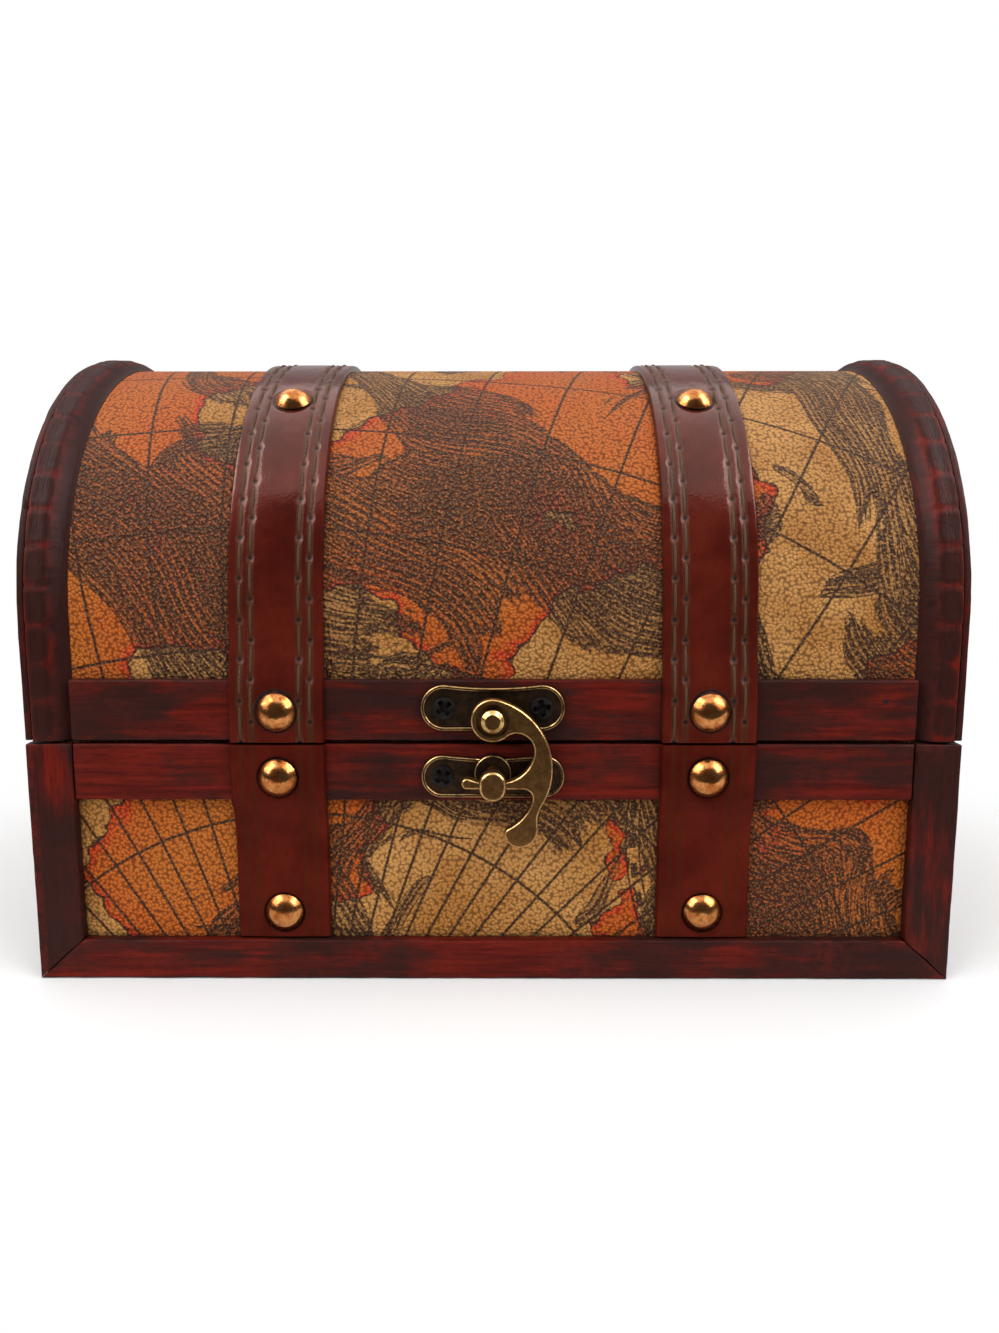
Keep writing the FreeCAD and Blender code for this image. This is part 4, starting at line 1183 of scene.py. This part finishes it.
def cross_head(x, y, radius, rise, number):
    """A low dome with a cross cut for a driver, turned its own way."""
    turn = number * CROSS_TURN
    a, b = abs(x * cos(turn) + y * sin(turn)), abs(y * cos(turn) - x * sin(turn))

    def within(reach, place):
        return min(1, max(0, (reach + CROSS_FLANK - place / radius) / CROSS_FLANK))
    cut = within(CROSS_ARM, min(a, b)) * within(CROSS_REACH, max(a, b))
    return rise * (1 - 0.6 * (hypot(x, y) / radius) ** 2) - CROSS_DEPTH * rise * cut


for body in ("base", "lid"):
    heads(f"{body}_nail_heads", f"{body}_nails", body, nail_finish, "nail_brass", hammered_dome, *NAIL_GRID)
    heads(f"{body}_screw_heads", f"{body}_screws", body, screw_finish, "latch_bronze", cross_head,
          *SCREW_GRID)
print("screws", {body: len(fastener_frames(f"{body}_screws")) for body in ("base", "lid")})

# %% [markdown]
# Brads hold the rails. Their pits are painted in as small dark plugs, a hair below the wood's face: painted
# shade, on the front rail of each body and, turned about, on its back rail.

# %% Brads' pits in painted shade
BRAD_RADIUS, BRAD_DEPTH, BRAD_SINK, BRAD_SIDES = 0.5 * MM, 0.9 * MM, 0.06 * MM, 14
brad_places = {"base": (base_rail_low, [(-70, 5.5), (73.5, 3.4)]), "lid": (lid_low, [(-76, 6.2), (76.4, 8)])}


def brads(body, low, places):
    """A body's plugs, by their places across and up in millimetres."""
    points, faces = [], []
    turns = [2 * pi * k / BRAD_SIDES for k in range(BRAD_SIDES)]
    for way in (-1, 1):
        for x, z in places:
            faces += tube_faces(len(points), 2, BRAD_SIDES)
            for out in (rail_out - BRAD_DEPTH, rail_out - BRAD_SINK):
                points += [Vector((-way * x * MM + BRAD_RADIUS * cos(turn), way * out,
                                   low + z * MM + BRAD_RADIUS * sin(turn))) for turn in turns]
    mesh = turn_faces_out(mesh_of(f"{body}_brads", points, faces))
    # Dark plugs for the brads' pits: painted shade.
    make_piece(f"{body}_brads", mesh, pit_shade_finish, body, "trim_wood")


for body, (low, places) in brad_places.items():
    brads(body, low, places)

# %% [markdown]
# The latch's plates were pressed, so their rims are round; their colour is brighter there, partly rubbed wear
# and partly a painted highlight. Their imported meshes have sharp rims, which would catch no light: a copy of
# each gets a fine bevel on the edges of its face.

# %% Rounded plates
PLATE_EASE, PLATE_WELD, RIM_ANGLE, FACE_ON = 0.3 * MM, 0.06 * MM, radians(50), 0.999
for node, body in (("latch_plate", "lid"), ("latch_catch_plate", "base")):
    bm = flat_copy(node, PLATE_WELD)
    rims = [e for e in bm.edges if e.is_convex and e.calc_face_angle() > RIM_ANGLE
            and all(spot.co.y < -rail_out - MM for spot in e.verts)]
    bmesh.ops.bevel(bm, geom=rims, offset=PLATE_EASE, segments=4, profile=0.5, affect="EDGES")
    mesh = mesh_from(bm, node + "_round")
    make_piece(node + "_round", mesh, plate_finish, body, "latch_bronze", node)
    for polygon in mesh.polygons:
        polygon.use_smooth = abs(polygon.normal.y) < FACE_ON
    print(node, "faces", len(mesh.polygons))

# %% [markdown]
# The hook, the stud, the hinges and the boards inside have the right shape already. They keep their packed
# meshes and only change their material.

# %% Dress the nodes that stay
kept_nodes = {node: obj for node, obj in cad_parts.items() if not obj.hide_render}
for node, obj in kept_nodes.items():
    if "latch_hook" in node or "stud" in node or "rivet" in node:
        finish = hook_finish
    elif "latch" in node or "hinge" in node:
        finish = plate_finish
    else:
        finish = board_finish
    obj.data.materials.clear()
    obj.data.materials.append(finish)
print("packed nodes that show", len(kept_nodes))

# %% [markdown]
# The studio is plain: a pale floor and soft boxes overhead and at both sides. Lamps that light surfaces and
# lamps that show in reflections are kept apart, so that a sheen can be placed without changing the light: the
# panel's front edge shows in the straps, and the two glints show as windows in the nails. The panel hangs
# below the overhead box, because reflections meet the nearer lamp. The room in front of the chest is left dim
# for reflections, and the background is white for the camera.

# %% World
AMBIENT, DARK_ROOM, BACK_ROOM = 0.4, 0.08, 0.5


def world_light():
    """White for the camera; for reflections, half as bright behind the chest and dim before it."""
    world = bpy.data.worlds.new("studio")
    world.use_nodes = True
    scene.world = world
    g = Graph(world.node_tree)
    rays = g.add("LightPath").outputs
    way = g.add("SeparateXYZ", g.add("TexCoord").outputs["Generated"]).outputs
    mirrored = g.math("MULTIPLY_ADD", g.ease(way[1], 0.25, -0.05), DARK_ROOM - BACK_ROOM, BACK_ROOM)
    seen = g.math("MAXIMUM", rays["Is Glossy Ray"], rays["Is Transmission Ray"])
    ambient = g.times(g.math("SUBTRACT", 1, seen), AMBIENT)
    level = g.math("MULTIPLY_ADD", seen, mirrored, ambient)
    background = world.node_tree.nodes["Background"].inputs
    g.feed(background["Strength"], g.math("MAXIMUM", level, rays["Is Camera Ray"]))
    background["Color"].default_value = (1, 1, 1, 1)


world_light()
print("dimmest reflection", DARK_ROOM)


# %% Lamps
CHEST_MIDDLE = (0, -0.03, 0.06)


def soft_box(name, place, target, size, power, mirrored):
    """An area lamp that faces the target, and either lights surfaces or shows in reflections."""
    lamp = bpy.data.lights.new(name, "AREA")
    lamp.shape = "RECTANGLE"
    lamp.size, lamp.size_y = size
    lamp.energy = power
    holder = bpy.data.objects.new(name, lamp)
    holder.location = place
    holder.rotation_euler = (Vector(target) - Vector(place)).to_track_quat("-Z", "Y").to_euler()
    holder.visible_glossy, holder.visible_diffuse = mirrored, not mirrored
    scene.collection.objects.link(holder)


soft_box("overhead", (0, -0.2, 0.85), (0, -0.2, 0), (1.6, 1.56), 9.5, mirrored=False)
soft_box("gloss_panel", (0, -0.075, 0.8), (0, -0.075, 0), (1.6, 1.05), 8.5, mirrored=True)
for side, name in ((-1, "left"), (1, "right")):
    soft_box(name + "_window", (side * 0.62, -0.6, 0.55), CHEST_MIDDLE, (0.5, 0.7), 3.2, mirrored=False)
    soft_box(name + "_glint", (side * 0.68, -0.28, 0.68), CHEST_MIDDLE, (0.6, 0.7), 10, mirrored=True)
print("lamps", len(bpy.data.lights))


# %% Floor
FLOOR_FRONT, FLOOR_REACH, FLOOR_GREY = 0.148, 4, 0.9
SHADOW_REACH, SHADOW_SHAPE = 0.08, (0.55, 1)


def pale_floor():
    """A white sweep that ends before the camera: it keeps the chest's shadow and is white further out."""
    corners = [(-FLOOR_REACH, -FLOOR_FRONT, 0), (FLOOR_REACH, -FLOOR_FRONT, 0),
               (FLOOR_REACH, FLOOR_REACH, 0), (-FLOOR_REACH, FLOOR_REACH, 0)]
    mesh = mesh_of("floor", corners, [[0, 1, 2, 3]])
    material, g = new_finish("pale_floor", Roughness=0.9, Specular_IOR_Level=0.1,
                             Base_Color=(FLOOR_GREY, FLOOR_GREY, FLOOR_GREY, 1))
    away = g.length(g.stretch(g.place(), *SHADOW_SHAPE))
    white = g.add("Emission", (1, 1, 1, 1), 1).outputs[0]
    share = g.times(g.ease(away, SHADOW_REACH, FLOOR_FRONT), g.add("LightPath").outputs["Is Camera Ray"])
    surface = g.add("MixShader", share, material.node_tree.nodes["Principled BSDF"].outputs[0], white)
    g.feed(material.node_tree.nodes["Material Output"].inputs["Surface"], surface.outputs[0])
    mesh.materials.append(material)
    floor = bpy.data.objects.new("floor", mesh)
    scene.collection.objects.link(floor)


pale_floor()
print("floor before the chest", FLOOR_FRONT, "m")

# %% [markdown]
# The camera stands where the photograph was taken from: close, a little above the lid's middle and tilted
# down by a few degrees. Its focal length in pixels and its place were fitted to the chest's corners.

# %% Camera
PHOTO_HEIGHT_PX, FOCAL_PX, SENSOR = 1333, 939.27, 36
CAMERA_PLACE = Vector((1.92, -238.87, 89.40)) * MM
CAMERA_PITCH, CAMERA_YAW, CLIP_START = 0.1396, -0.0035, 0.01
lens = bpy.data.cameras.new("camera")
lens.sensor_width = SENSOR
lens.lens = SENSOR * FOCAL_PX / PHOTO_HEIGHT_PX
lens.clip_start = CLIP_START
camera = bpy.data.objects.new("camera", lens)
camera.location = CAMERA_PLACE
camera.rotation_euler = (pi / 2 - CAMERA_PITCH, 0, -CAMERA_YAW)
scene.collection.objects.link(camera)
scene.camera = camera
scene.view_settings.view_transform = "Standard"
print("lens", round(lens.lens, 2), "mm")
